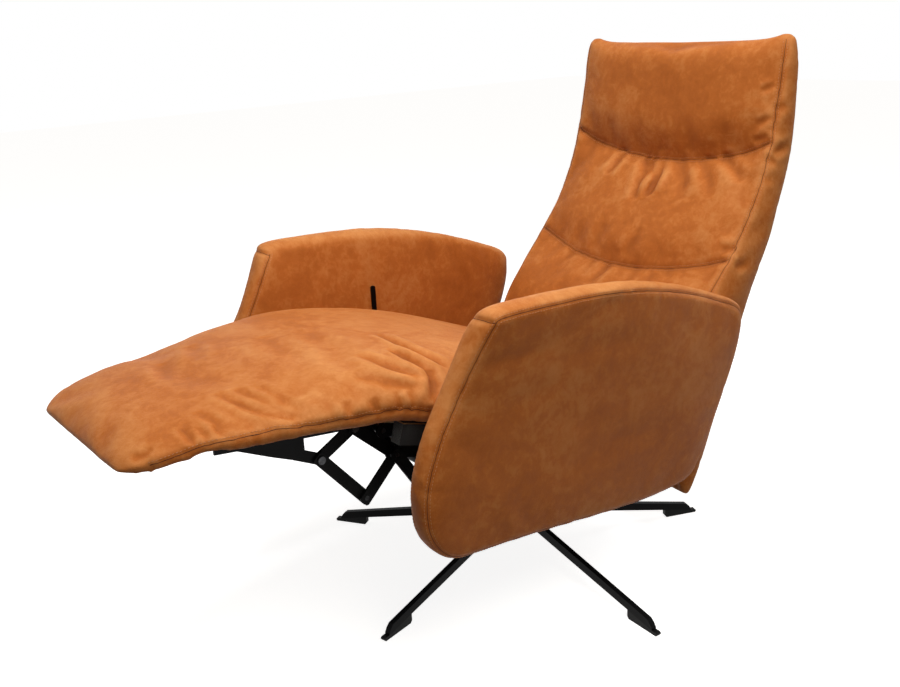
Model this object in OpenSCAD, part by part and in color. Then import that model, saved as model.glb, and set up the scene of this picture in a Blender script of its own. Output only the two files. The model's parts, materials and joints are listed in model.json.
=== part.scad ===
// Swivel recliner: five-leg star base, steel chassis, scissor footrest and reclining back.
// The origin is where the swivel axis meets the floor. The sitter faces -Y, and +Z is up.
// The model stands as it is used with the footrest out and the back part way down.

/* [Star base] */
// Radius that the tips of the feet reach
leg_reach = 420; // [390:5:450]
// Width of a leg bar
leg_w = 11; // [9:0.5:16]
// Height of a leg bar, measured upright where it would meet the swivel axis
leg_h = 20; // [16:1:24]
// Height of a leg bar at its tip
leg_tip_h = 15; // [12:1:18]
// Height of the legs' centre line at the swivel axis
leg_rise = 89; // [80:1:96]
// Length of the wedge glide under a leg's tip
glide_length = 75; // [60:1:90]
// Thickness of the glide at its outer end
glide_t = 7; // [6:0.5:9]
// Outer radius of the hub
hub_r = 38; // [34:1:44]
// Outer radius of the fixed column
column_r = 26; // [24:1:28]
// Wall of the fixed column
column_wall = 4.5; // [3.5:0.5:5]
// Radius of the swivel spindle
spindle_r = 15; // [13:0.5:16]
// Radial clearance of every running fit
run_gap = 0.05; // [0.03:0.01:0.08]

/* [Chassis] */
// Height of the underside of the swivel plate
plate_z = 220; // [212:1:224]
// Width of the swivel plate
plate_size = 190; // [160:5:230]
// Thickness of the swivel plate
plate_t = 6; // [4:0.5:8]
// Height of the two cross channels that stand on the swivel plate
channel_h = 25; // [20:1:27]
// Width of a cross channel
channel_w = 40; // [30:1:50]
// Half of the width over the mechanism's side plates
mech_half = 226; // [222:1:228]
// Thickness of the side plates and of every link
steel_t = 4; // [3:0.5:4.5]
// Gap between neighbouring links
layer_gap = 1; // [0.6:0.1:1.4]
// Radius of the two tubes that carry the arms
arm_tube_r = 12.5; // [10:0.5:14]
// Radius of the torque tube
torque_r = 11; // [9:0.5:12]
// Radius of the pivot pins
pin_r = 4; // [3:0.25:5]
// Width of a scissor link
link_w = 20; // [16:0.5:20]

/* [Seat] */
// Clear width between the arms, below their flared tops
seat_gap = 608; // [604:2:620]
// Gap between a cushion's side and the arm beside it
cushion_gap = 14; // [12:1:16]
// Slope of the seat below the cushion, in degrees
seat_slope = 16.7; // [15:0.1:18]
// Slope of the footrest board, in degrees
foot_slope = 5.64; // [4.5:0.1:6.5]
// Width of the elastic webbing straps
strap_w = 50; // [40:1:55]
// Thickness of the webbing straps
strap_t = 1.8; // [1.2:0.1:2.5]
// Height of the wooden seat rails
rail_h = 34; // [28:1:38]
// Width of the wooden seat rails
rail_w = 24; // [18:1:28]
// Thickness of the footrest board
board_t = 10; // [8:0.5:12]

/* [Arms] */
// Thickness of an arm between its two seams, below the flared top
arm_w = 46; // [42:1:56]
// How much further out an arm's outer seam runs along its front top
arm_flare = 26; // [10:1:32]
// How much further out an arm's inner seam runs along its front top
arm_inner_flare = 9; // [0:1:14]
// How far the padding swells past the seams
arm_crown = 16; // [8:0.5:18]
// Thickness of the board inside an arm
arm_board_t = 16; // [12:1:18]

/* [Back] */
// How far the back's side panels stand out past its steel brackets
back_overhang = 49; // [46:1:56]
// Thickness of the padded side panels
back_side_t = 22; // [18:1:24]
// Thickness of the padded rear panel
back_rear_t = 14; // [10:1:16]
// Thickness of the bent back board
back_board_t = 12; // [9:1:13]
// How far the seams dip from their ends to the middle
seam_dip = 46; // [30:1:60]
// How far the middle of a back cushion stands out past its sides
back_crown = 12; // [6:1:16]
// How much narrower the back is at its top, as a share of its width
back_taper = 0.04; // [0:0.005:0.08]
// Height of the back's hinge
hinge_z = 360; // [354:1:366]

/* [Release lever] */
// Length of the lever from its pivot to its tip
lever_length = 164; // [150:1:175]
// Width of the lever
lever_w = 10; // [8:0.5:13]
// Thickness of the lever
lever_t = 4; // [3:0.5:5]

/* [Hidden] */
$fn = 48;

// Clearance between a fixed pin and its hole, and between parts that only lie on each other
fixed_gap = 0.02;
rest_gap = 0.3;
end_step = 0.1;

// Pivots of the footrest scissor, as [y, z] with the footrest out
knee = [-455.1, 464];
carrier_foot = [-364.4, 312.2];
cross_pivot = [-429.4, 413.6];
upper_pivot = [-497.3, 476.4];
lower_pivot = [-488.2, 356.6];
tip_pivot = [-559.9, 442.7];
drive_step = [118, -30];
crank_pivot = cross_pivot + drive_step;
torque_pivot = carrier_foot + drive_step;

// Other places in the side view, as [y, z]
back_hinge = [170, hinge_z];
back_drop = 92;
rod_pivot = back_hinge - [0, back_drop];
front_tube = [-200, 330];
rear_tube = [0, 294];
lever_pivot = [-120, 368];
gas_anchor = [-150, rod_pivot[1]];

// The undersides of the two cushions run through this point
fold = [-444.5, 483];

back_half = mech_half + layer_gap + steel_t + back_overhang;
bracket_w = 32;
board_gap = 0.6;
rail_start = 12;
rail_length = 560;
cross_rail_t = 20;
leg_end = leg_reach - 12;
leg_count = 5;
leg_turn = -4.3;
hub_h = 50;
hub_z = leg_rise - 25;
column_foot = hub_z + 4;
column_top = plate_z - 15;
channel_z = plate_z + plate_t;
chassis_z = channel_z + channel_h;
channel_y = [-150, 60];
leather = [0.70, 0.41, 0.21];
powder_coat = [0.06, 0.06, 0.065];
birch = [0.76, 0.62, 0.44];
bright_steel = [0.62, 0.62, 0.64];
webbing_black = [0.13, 0.12, 0.12];

// Outline of an arm at its seams, as [y, z] points for a smooth closed curve
arm_outline = [
    [-328, 648], [-219, 646], [-109, 638], [3, 619], [114, 587], [196, 555], [250, 528],
    [263, 498], [250, 438], [219, 365], [184, 295], [159, 255], [128, 230], [46, 226],
    [-59, 234], [-157, 246], [-259, 259], [-357, 269], [-408, 274], [-440, 291], [-464, 328],
    [-470, 373], [-461, 421], [-436, 479], [-399, 539], [-366, 599], [-346, 634]
];
arm_board_outline = [
    [-326, 606], [-60, 592], [110, 545], [222, 495], [196, 410], [130, 275], [40, 255],
    [-370, 300], [-430, 345], [-438, 385], [-385, 520]
];

// Stations up the back: front [y, z] of the side panel, then its rear [y, z]
back_stations = [
    [206, 140, 229, 131], [196, 215, 261, 181], [190, 330, 306, 268], [194, 400, 338, 346],
    [214, 455, 360, 405], [256, 510, 385, 462], [301, 560, 408, 515], [348, 612, 437, 571],
    [386, 660, 461, 618], [413, 706, 482, 677], [436, 755, 503, 732], [454, 810, 518, 792],
    [468, 870, 524, 856], [480, 930, 527, 921], [490, 990, 527, 986]
];
// Where the seams meet the side panels, counted in stations
low_seam = 2.1;
lumbar_seam = 6.7;
head_seam = 10.95;
top_seam = 13.8;
station_step = 57;

// Stations along the seat cushion: [y, height of the top, half width short of the full one]
seat_stations = [
    [164, 388, 2], [100, 404, 0], [20, 434, 0], [-80, 475, 0], [-170, 509, 0], [-260, 535, 0],
    [-340, 553, 4], [-400, 563, 12], [fold[0] + rest_gap, 566, 22]
];
// Stations along the leg cushion, towards its tip
leg_stations = [
    [fold[0] - rest_gap, 566, 22], [-500, 565, 31], [-570, 559, 41], [-640, 550, 55],
    [-705, 540, 70], [-765, 529, 85], [-808, 519, 99], [-834, 511, 120], [-846, 504, 152]
];
leg_droop = 14;

function mix(a, b, t) = a + (b - a) * t;

// One span of a smooth curve through four control points
function span(a, b, c, d, t) =
    (2 * b + (c - a) * t + (2 * a - 5 * b + 4 * c - d) * t * t
        + (3 * b - a - 3 * c + d) * t * t * t) / 2;

// The point at t, counted in control points, on a smooth open curve
function along(points, t) =
    let(last = len(points) - 1, i = min(floor(t), last - 1))
    span(points[max(i - 1, 0)], points[i], points[i + 1], points[min(i + 2, last)], t - i);

function smooth_ring(points, steps) =
    let(n = len(points))
    [for (i = [0:n - 1]) for (k = [0:steps - 1])
        span(points[(i + n - 1) % n], points[i], points[(i + 1) % n], points[(i + 2) % n], k / steps)];

// A closed ring of [y, z] points, moved outwards: by d where it faces up, and by less elsewhere
function swell(ring, d) =
    let(n = len(ring), least = 0.35, most = 1, growth = 1.4)
    [for (i = [0:n - 1])
        let(run = ring[(i + 1) % n] - ring[(i + n - 1) % n], out = [-run[1], run[0]] / norm(run))
        ring[i] + d * min(most, least + growth * max(0, out[1])) * out];

function power(v, n) = sign(v) * pow(abs(v), 2 / n);

function seat_line(y) = fold[1] - (y - fold[0]) * tan(seat_slope);
function foot_line(y) = fold[1] - (y - fold[0]) * tan(foot_slope);
function layer_x(n) = mech_half - steel_t - n * (steel_t + layer_gap);
function half_seat() = seat_gap / 2 - cushion_gap;
function leg_under(r) = mix(leg_rise - leg_h / 2, glide_t, r / leg_end);
function leg_over(r) = mix(leg_rise + leg_h / 2, glide_t + leg_tip_h, r / leg_end);

// How much of its flare an arm has at a point p of its outline: all of it along the front top
function arm_spread(p) =
    let(top = 652 - 0.27 * max(0, p[0] + 150), down = min(1, max(0, (top - p[1]) / 125)))
    pow(1 - down, 1.5) * min(1, max(0, (150 - p[0]) / 250));

// A point of the back section at station t, d in front of its rear face
function back_point(t, x, d) =
    let(s = along(back_stations, t), rear = [s[2], s[3]], front = [s[0], s[1]])
    let(p = rear + d * (front - rear) / norm(front - rear))
    [x * (1 - back_taper * pow(max(0, t - 10.5) / 3.5, 2)), p[0], p[1]];
function back_depth(t) =
    let(s = along(back_stations, t))
    norm([s[0] - s[2], s[1] - s[3]]);

// Joins rings of equal length into one closed solid. A bent end ring is closed by a strip
// between its points j and m - j, so that the strip follows the bend.
module loft(rings, bent = false) {
    m = len(rings[0]);
    n = len(rings);
    strip = [for (j = [0:m / 2 - 1]) each concat(
        j < m / 2 - 1 ? [[j, j + 1, m - j - 1]] : [[j, j + 1, j + 2]],
        j > 0 && j < m / 2 - 1 ? [[j, m - j - 1, m - j]] : []
    )];
    end = bent ? strip : [[for (j = [0:m - 1]) j]];
    polyhedron(
        points = [for (r = rings) for (p = r) p],
        faces = concat(
            [for (f = end) [for (j = [len(f) - 1:-1:0]) f[j]]],
            [for (i = [0:n - 2]) for (j = [0:m - 1])
                [i * m + j, i * m + (j + 1) % m, (i + 1) * m + (j + 1) % m]],
            [for (i = [0:n - 2]) for (j = [0:m - 1])
                [i * m + j, (i + 1) * m + (j + 1) % m, (i + 1) * m + j]],
            [for (f = end) [for (j = f) (n - 1) * m + j]]
        ),
        convexity = 6
    );
}

module plate_yz(x, t) {
    translate([x, 0, 0])
        rotate([90, 0, 90])
            linear_extrude(t)
                children();
}

module pin_x(p, x0, x1, r) {
    translate([x0, p[0], p[1]])
        rotate([0, 90, 0])
            cylinder(r = r, h = x1 - x0);
}

module both_sides() {
    children();
    mirror([1, 0, 0])
        children();
}

// A bar with round ends. Its straight part is a shade narrower, so that it crosses the ends
module bar2d(a, b, w) {
    straight_w = w - end_step;
    translate(a)
        circle(d = w);
    translate(b)
        circle(d = w);
    translate(a)
        rotate(atan2(b[1] - a[1], b[0] - a[0]))
            translate([0, -straight_w / 2])
                square([norm(b - a), straight_w]);
}

// A flat link in the nth layer, with a hole of its own radius at each end. An end is cut
// square, as the links' ends are, or round where it turns close under the footrest board.
module link(a, b, layer, hole_a, hole_b, round_b = false) {
    corner = 3;
    half = link_w / 2;
    reach = norm(b - a) + (round_b ? 0 : half);
    plate_yz(layer_x(layer), steel_t)
        difference() {
            union() {
                translate(a)
                    rotate(atan2(b[1] - a[1], b[0] - a[0]))
                        polygon([
                            [corner - half, -half], [reach - (round_b ? 0 : corner), -half],
                            [reach, corner - half], [reach, half - corner],
                            [reach - (round_b ? 0 : corner), half], [corner - half, half],
                            [-half, half - corner], [-half, corner - half]
                        ]);
                if (round_b)
                    translate(b)
                        circle(r = half + end_step / 2);
            }
            translate(a)
                circle(r = hole_a);
            translate(b)
                circle(r = hole_b);
        }
}

// A rivet through the nth layer with a head on the layer's inner or outer face
module rivet(p, layer, outward) {
    head_r = pin_r + 2.5;
    head_t = 2.5;
    x = layer_x(layer);
    pin_x(p, x, x + steel_t, pin_r);
    pin_x(p, outward ? x + steel_t : x - head_t, outward ? x + steel_t + head_t : x, head_r);
}

// Moves local +Y along the slope of the seat and local +Z square to it
module on_seat() {
    translate([0, fold[0], fold[1]])
        rotate([-seat_slope, 0, 0])
            children();
}

module on_footrest() {
    translate([0, fold[0], fold[1]])
        rotate([-foot_slope, 0, 0])
            children();
}

// Star base

module base_hub() {
    color(powder_coat)
        translate([0, 0, hub_z])
            rotate_extrude()
                polygon([
                    [column_r + fixed_gap, 0], [hub_r - 3, 0], [hub_r, 3],
                    [hub_r, hub_h - 3], [hub_r - 3, hub_h], [column_r + fixed_gap, hub_h]
                ]);
}

module base_leg(i) {
    color(powder_coat)
        rotate(leg_turn + i * 360 / leg_count)
            difference() {
                translate([0, leg_w / 2, 0])
                    rotate([90, 0, 0])
                        linear_extrude(leg_w)
                            polygon([
                                [0, leg_under(0)], [leg_end, glide_t], [leg_end, glide_t + 3],
                                [leg_end - 5, leg_over(leg_end) - 4],
                                [leg_end - 12, leg_over(leg_end - 12)], [0, leg_over(0)]
                            ]);
                cylinder(r = hub_r, h = 3 * leg_rise);
            }
}

module foot_glides() {
    inner = leg_reach - glide_length;
    nose = 2;
    color(powder_coat)
        for (i = [0:leg_count - 1])
            rotate(leg_turn + i * 360 / leg_count)
                translate([0, leg_w / 2, 0])
                    rotate([90, 0, 0])
                        linear_extrude(leg_w)
                            polygon([
                                [inner + 4, 0], [leg_reach - nose, 0], [leg_reach, nose],
                                [leg_reach, glide_t - nose], [leg_reach - nose, glide_t],
                                [leg_end, glide_t], [inner, leg_under(inner)], [inner, 5]
                            ]);
}

module column() {
    color(powder_coat)
        translate([0, 0, column_foot])
            difference() {
                cylinder(r = column_r, h = column_top - column_foot);
                translate([0, 0, 5])
                    cylinder(r = column_r - column_wall, h = column_top);
            }
}

module swivel_bushes() {
    bush_h = 30;
    color(webbing_black)
        for (z = [column_foot + 12, column_top - bush_h])
            translate([0, 0, z])
                difference() {
                    cylinder(r = column_r - column_wall - fixed_gap, h = bush_h);
                    translate([0, 0, -1])
                        cylinder(r = spindle_r + run_gap, h = bush_h + 2);
                }
}

module thrust_bearing() {
    color(bright_steel)
        translate([0, 0, column_top])
            difference() {
                cylinder(r = column_r + 4, h = plate_z - column_top - 0.1);
                translate([0, 0, -1])
                    cylinder(r = spindle_r + 0.5, h = plate_z);
            }
}

// Chassis

module spindle() {
    color(bright_steel)
        translate([0, 0, column_foot + 9])
            cylinder(r = spindle_r, h = plate_z - column_foot - 9);
}

module swivel_plate() {
    color(powder_coat)
        difference() {
            translate([-plate_size / 2, channel_y[0] - channel_w / 2, plate_z])
                cube([plate_size, channel_y[1] - channel_y[0] + channel_w, plate_t]);
            for (x = [-60, 60], y = channel_y)
                translate([x, y, plate_z - 1])
                    cylinder(r = pin_r + fixed_gap, h = plate_t + 2);
        }
}

module plate_bolts() {
    color(bright_steel)
        for (x = [-60, 60], y = channel_y)
            translate([x, y, plate_z - 5]) {
                cylinder(r = 7, h = 5, $fn = 6);
                cylinder(r = pin_r, h = 5 + plate_t + 3);
            }
}

module channel(y) {
    color(powder_coat)
        difference() {
            translate([-mech_half, y - channel_w / 2, channel_z])
                cube([2 * mech_half, channel_w, channel_h]);
            translate([-mech_half - 1, y - channel_w / 2 + 3, channel_z + 3])
                cube([2 * mech_half + 2, channel_w - 6, channel_h - 6]);
            for (x = [-60, 60])
                translate([x, y, channel_z - 1])
                    cylinder(r = pin_r + fixed_gap, h = 5);
        }
}

module front_channel() {
    channel(channel_y[0]);
}

module rear_channel() {
    channel(channel_y[1]);
}

module side_plate2d() {
    rear = 95;
    difference() {
        union() {
            polygon([
                [knee[0], knee[1] - 12], [knee[0], knee[1] + 12], [rear, seat_line(rear) - 4],
                [rear, chassis_z], [channel_y[0] - 40, chassis_z], torque_pivot - [16, 0],
                [carrier_foot[0] - 4, carrier_foot[1] - 17], [carrier_foot[0] - 8, carrier_foot[1] + 16],
                [-325, 415], [-400, 450]
            ]);
            translate(knee)
                circle(r = 12);
            translate(carrier_foot)
                circle(r = 17);
            translate(torque_pivot)
                circle(r = torque_r + 8);
            bar2d([60, 292], back_hinge, 32);
        }
        for (p = [knee, carrier_foot, back_hinge])
            translate(p)
                circle(r = pin_r + fixed_gap);
        translate(torque_pivot)
            circle(r = torque_r + run_gap);
        for (p = [front_tube, rear_tube])
            translate(p)
                circle(r = arm_tube_r + fixed_gap);
        for (y = [-120, -60])
            translate([y, 318])
                circle(r = 18);
    }
}

module left_side_plate() {
    color(powder_coat) {
        plate_yz(layer_x(0), steel_t)
            side_plate2d();
        for (y = channel_y)
            translate([layer_x(0) - 22, y - 15, chassis_z])
                cube([22, 30, steel_t]);
    }
}

module right_side_plate() {
    mirror([1, 0, 0])
        left_side_plate();
}

module arm_tube(p) {
    reach = seat_gap / 2 + (arm_w - arm_board_t) / 2;
    color(powder_coat)
        difference() {
            pin_x(p, -reach, reach, arm_tube_r);
            pin_x(p, -reach - 1, reach + 1, arm_tube_r - 2);
        }
}

module front_arm_tube() {
    arm_tube(front_tube);
}

module rear_arm_tube() {
    arm_tube(rear_tube);
}

module frame_pins() {
    color(bright_steel)
        both_sides() {
            pin_x(knee, layer_x(4) - 2, mech_half, pin_r);
            pin_x(knee, layer_x(4) + steel_t + rest_gap, layer_x(0), pin_r + 3);
            pin_x(carrier_foot, layer_x(1) - 2, mech_half, pin_r);
            pin_x(back_hinge, layer_x(0), mech_half + 2 * steel_t, pin_r);
            pin_x(back_hinge, layer_x(0) - 3, layer_x(0), pin_r + 3);
        }
}

// Seat

module seat_rail() {
    color(birch)
        on_seat()
            translate([mech_half, rail_start, -rest_gap - strap_t - rail_h])
                cube([rail_w, rail_length, rail_h]);
}

module left_seat_rail() {
    seat_rail();
}

module right_seat_rail() {
    mirror([1, 0, 0])
        seat_rail();
}

module front_seat_rail() {
    top = -rest_gap - strap_t;
    inner = layer_x(5) - 3;
    place = rail_start + 8;
    thin = 12;
    deep = 18;
    color(birch)
        on_seat() {
            translate([-layer_x(0), place, top - thin])
                cube([2 * layer_x(0), cross_rail_t, thin]);
            translate([-inner, place, top - thin - deep])
                cube([2 * inner, cross_rail_t, deep]);
        }
}

module rear_seat_rail() {
    height = rail_h - 8;
    place = rail_start + rail_length - cross_rail_t - 12;
    color(birch)
        on_seat()
            translate([-layer_x(0), place, -rest_gap - strap_t - height])
                cube([2 * layer_x(0), cross_rail_t, height]);
}

module seat_webbing() {
    count = 7;
    first = 14;
    pitch = 80;
    color(webbing_black)
        on_seat()
            for (i = [0:count - 1])
                translate([-mech_half - rail_w, first + i * pitch, -rest_gap - strap_t])
                    cube([2 * (mech_half + rail_w), strap_w, strap_t]);
}

// One upright section of a cushion: flat below, rounded at its sides and crowned above
function cushion_ring(y, low, high, half) =
    let(m = 30, mid = mix(low, high, 0.45))
    [for (j = [0:m - 1])
        let(a = 360 * j / m, up = sin(a) > 0, x = half * power(cos(a), up ? 3.2 : 9))
        [x, y, up ? mid + (high - mid) * power(sin(a), 2.6) : mid + (mid - low) * power(sin(a), 14)]];

module seat_cushion() {
    steps = 2;
    last = len(seat_stations) - 1;
    color(leather)
        difference() {
            loft([for (i = [0:last * steps])
                let(s = along(seat_stations, i / steps))
                cushion_ring(s[0], seat_line(s[0]), s[1] + 6, half_seat() - s[2])]);
            both_sides()
                translate([layer_x(0) - 3, 66, 0])
                    cube([2 * steel_t + 7, 200, hinge_z + 20]);
        }
}

// Arms

module arm_board() {
    color(birch)
        plate_yz(seat_gap / 2 + (arm_w - arm_board_t) / 2, arm_board_t)
            polygon(arm_board_outline);
}

module left_arm_board() {
    arm_board();
}

module right_arm_board() {
    mirror([1, 0, 0])
        arm_board();
}

module arm() {
    ring = smooth_ring(arm_outline, 2);
    steps = [-1, -0.86, -0.55, 0, 0.55, 0.86, 1];
    color(leather)
        difference() {
            loft([for (u = steps)
                let(swollen = swell(ring, arm_crown * (1 - pow(abs(u), 2.4))))
                [for (j = [0:len(ring) - 1])
                    let(spread = arm_spread(ring[j]), inner = seat_gap / 2 + arm_inner_flare * spread)
                    let(outer = seat_gap / 2 + arm_w + arm_flare * spread)
                    [mix(inner, outer, (1 + u) / 2), swollen[j][0], swollen[j][1]]]], true);
            plate_yz(seat_gap / 2 + (arm_w - arm_board_t) / 2, arm_board_t)
                polygon(arm_board_outline);
            for (p = [front_tube, rear_tube])
                pin_x(p, seat_gap / 2 - 1, seat_gap / 2 + arm_w / 2, arm_tube_r + rest_gap);
        }
}

module left_arm() {
    arm();
}

module right_arm() {
    mirror([1, 0, 0])
        arm();
}

// Release lever

module lever_bracket() {
    inner = mech_half + rail_w;
    color(powder_coat)
        mirror([1, 0, 0]) {
            translate([inner, lever_pivot[0] - 14, lever_pivot[1] - 12])
                cube([4, 28, 24]);
            pin_x(lever_pivot, inner + 4, seat_gap / 2 - 3, pin_r);
        }
}

module release_lever() {
    outer = seat_gap / 2 - 6;
    tip = lever_pivot + [0, lever_length];
    color(powder_coat)
        mirror([1, 0, 0])
            difference() {
                union() {
                    plate_yz(outer - lever_t, lever_t)
                        bar2d(lever_pivot, tip, lever_w);
                    pin_x(lever_pivot, outer - lever_t - 2, outer, 9);
                }
                pin_x(lever_pivot, outer - 20, outer + 5, pin_r + run_gap);
            }
}

// Gas spring between the chassis and the back

module gas_cylinder() {
    color(powder_coat) {
        translate([0, gas_anchor[0] + 12, gas_anchor[1]])
            rotate([-90, 0, 0])
                difference() {
                    cylinder(r = 11, h = 200);
                    translate([0, 0, 10])
                        cylinder(r = 9, h = 180);
                    translate([0, 0, 180])
                        cylinder(r = 5 + run_gap, h = 30);
                }
        pin_x(gas_anchor, -5, 5, 13);
        for (x = [-9, 5])
            translate([x, gas_anchor[0] - 9, chassis_z])
                cube([4, 18, gas_anchor[1] - chassis_z + 9]);
        pin_x(gas_anchor, -12, 12, pin_r);
    }
}

module gas_rod() {
    color(bright_steel) {
        translate([0, gas_anchor[0] + 90, gas_anchor[1]])
            rotate([-90, 0, 0]) {
                cylinder(r = 9 - run_gap, h = 12);
                cylinder(r = 5, h = rod_pivot[0] - gas_anchor[0] - 90 - 12);
            }
        difference() {
            pin_x(rod_pivot, -6, 6, 15);
            pin_x(rod_pivot, -7, 7, 10);
        }
    }
}

// Footrest

module footrest_bracket2d() {
    rear = knee[0] - 15;
    end = -724;
    post = [-583, -601];
    lip = 1;
    difference() {
        union() {
            bar2d(knee, [rear - 8, foot_line(rear - 8) - 11], 17);
            polygon([
                [rear, foot_line(rear) - lip], [rear, foot_line(rear) - 15],
                [post[0], foot_line(post[0]) - 13], [post[0], tip_pivot[1] + 12],
                [post[1] - 6, tip_pivot[1] + 14], [-640, tip_pivot[1] + 29],
                [-690, foot_line(-690) - 11], [end, foot_line(end) - 10], [end, foot_line(end) - lip]
            ]);
            bar2d(upper_pivot, tip_pivot, link_w);
            bar2d(tip_pivot, [post[1] + 2, tip_pivot[1] + 20], 18);
        }
        translate(knee)
            circle(r = pin_r + run_gap);
        for (p = [upper_pivot, tip_pivot])
            translate(p)
                circle(r = pin_r + fixed_gap);
    }
}

module footrest_brackets() {
    flange_w = 20;
    color(powder_coat)
        both_sides() {
            plate_yz(layer_x(4), steel_t)
                footrest_bracket2d();
            on_footrest()
                translate([layer_x(4) - flange_w, -278, -3])
                    cube([flange_w + steel_t, 245, 3]);
        }
}

module footrest_rivets() {
    color(bright_steel)
        both_sides() {
            rivet(upper_pivot, 4, false);
            rivet(tip_pivot, 4, false);
        }
}

// The space for the board in the underside of the leg cushion
module footrest_recess2d() {
    polygon([[-mech_half - 8, -12], [-mech_half + 24, -282], [mech_half - 24, -282], [mech_half + 8, -12]]);
}

// The board, with its rear corners cut away where the upper links swing past
module footrest_board() {
    corner = layer_x(3) - 8;
    corner_y = -100;
    color(birch)
        on_footrest()
            linear_extrude(board_t)
                difference() {
                    footrest_recess2d();
                    for (side = [0, 1])
                        mirror([side, 0])
                            translate([corner, corner_y])
                                square([50, 100]);
                }
}

module footrest_screws() {
    color(bright_steel)
        both_sides()
            on_footrest()
                for (y = [-60, -150, -240])
                    translate([layer_x(4) - 10, y, -5.5])
                        cylinder(r = 5, h = 2.5);
}

module leg_cushion() {
    steps = 2;
    last = len(leg_stations) - 1;
    color(leather)
        difference() {
            loft([for (i = [0:last * steps])
                let(s = along(leg_stations, i / steps))
                let(end = max(0, (-740 - s[0]) / 106))
                [for (p = cushion_ring(s[0], foot_line(s[0]) - leg_droop * end, s[1] + 6, half_seat() - s[2]))
                    [-p[0], p[1], p[2]]]]);
            on_footrest()
                translate([0, 0, -20])
                    linear_extrude(board_t + 20 + rest_gap)
                        footrest_recess2d();
        }
}

// Footrest scissor

module carrier_links() {
    color(powder_coat)
        both_sides()
            link(carrier_foot, cross_pivot, 1, pin_r + run_gap, pin_r + fixed_gap);
}

module carrier_pins() {
    color(bright_steel)
        both_sides() {
            pin_x(cross_pivot, layer_x(4), layer_x(1) + steel_t, pin_r);
            pin_x(cross_pivot, layer_x(4) - 2.5, layer_x(4), pin_r + 2.5);
        }
}

module upper_links() {
    color(powder_coat)
        both_sides()
            link(cross_pivot, upper_pivot, 3, pin_r + run_gap, pin_r + fixed_gap, true);
}

module upper_rivets() {
    color(bright_steel)
        both_sides()
            rivet(upper_pivot, 3, true);
}

module lower_links() {
    color(powder_coat)
        both_sides()
            link(cross_pivot, lower_pivot, 2, pin_r + run_gap, pin_r + fixed_gap);
}

module lower_pins() {
    color(bright_steel)
        both_sides() {
            pin_x(lower_pivot, layer_x(3), layer_x(2) + steel_t, pin_r);
            pin_x(lower_pivot, layer_x(3) - 2.5, layer_x(3), pin_r + 2.5);
        }
}

module tip_links() {
    color(powder_coat)
        both_sides()
            link(lower_pivot, tip_pivot, 3, pin_r + run_gap, pin_r + fixed_gap);
}

module tip_rivets() {
    color(bright_steel)
        both_sides()
            rivet(tip_pivot, 3, true);
}

module drive_links() {
    color(powder_coat)
        both_sides()
            link(cross_pivot, crank_pivot, 4, pin_r + run_gap, pin_r + run_gap);
}

module drive_cranks() {
    color(powder_coat)
        both_sides()
            plate_yz(layer_x(5), steel_t)
                difference() {
                    union() {
                        bar2d(torque_pivot, crank_pivot, link_w);
                        translate(torque_pivot)
                            circle(r = torque_r + 6);
                    }
                    translate(torque_pivot)
                        circle(r = torque_r + fixed_gap);
                    translate(crank_pivot)
                        circle(r = pin_r + fixed_gap);
                }
}

module torque_tube() {
    color(powder_coat)
        difference() {
            pin_x(torque_pivot, -mech_half, mech_half, torque_r);
            pin_x(torque_pivot, -mech_half - 1, mech_half + 1, torque_r - 2.5);
        }
}

module crank_pins() {
    color(bright_steel)
        both_sides() {
            pin_x(crank_pivot, layer_x(5), layer_x(4) + steel_t, pin_r);
            pin_x(crank_pivot, layer_x(5) - 2.5, layer_x(5), pin_r + 2.5);
        }
}

// Back

// Where a bar of the back bracket ends inside the back, at station t
function bracket_end(t) =
    let(p = back_point(t, 0, back_rear_t + bracket_w / 2 + 2))
    [p[1], p[2]];

module back_bracket2d() {
    for (t = [3, 5])
        bar2d(back_hinge, bracket_end(t), bracket_w);
    bar2d(back_hinge, rod_pivot, bracket_w - 4);
}

// A straight-sided slot that clears the bracket inside the low cushion
module bracket_slot2d() {
    reach = bracket_w / 2 + 1;
    low = (bracket_end(3) - back_hinge) / norm(bracket_end(3) - back_hinge);
    high = (bracket_end(5) - back_hinge) / norm(bracket_end(5) - back_hinge);
    under_low = [low[1], -low[0]];
    over_high = [-high[1], high[0]];
    polygon([
        back_hinge + reach * under_low, bracket_end(3) + reach * (under_low + low),
        bracket_end(5) + reach * (high - over_high), bracket_end(5) + reach * (high + over_high),
        back_hinge + reach * over_high
    ]);
}

module back_brackets() {
    color(powder_coat)
        both_sides()
            plate_yz(mech_half + layer_gap, steel_t)
                difference() {
                    back_bracket2d();
                    translate(back_hinge)
                        circle(r = pin_r + run_gap);
                }
}

module back_cross_rod() {
    reach = mech_half + layer_gap;
    color(bright_steel)
        pin_x(rod_pivot, -reach, reach, 6);
}

// The outline in the side view of what lies between two depths, measured from the rear face
function back_band(from, to, first, last) =
    let(steps = [for (i = [2 * first:2 * last]) i / 2], m = len(steps))
    concat(
        [for (t = steps) let(p = back_point(t, 0, from)) [p[1], p[2]]],
        [for (i = [m - 1:-1:0]) let(p = back_point(steps[i], 0, to)) [p[1], p[2]]]
    );

module back_board() {
    half = mech_half + layer_gap;
    color(birch)
        plate_yz(-half, 2 * half)
            polygon(back_band(back_rear_t + rest_gap, back_rear_t + back_board_t, 1, 13));
}

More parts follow.
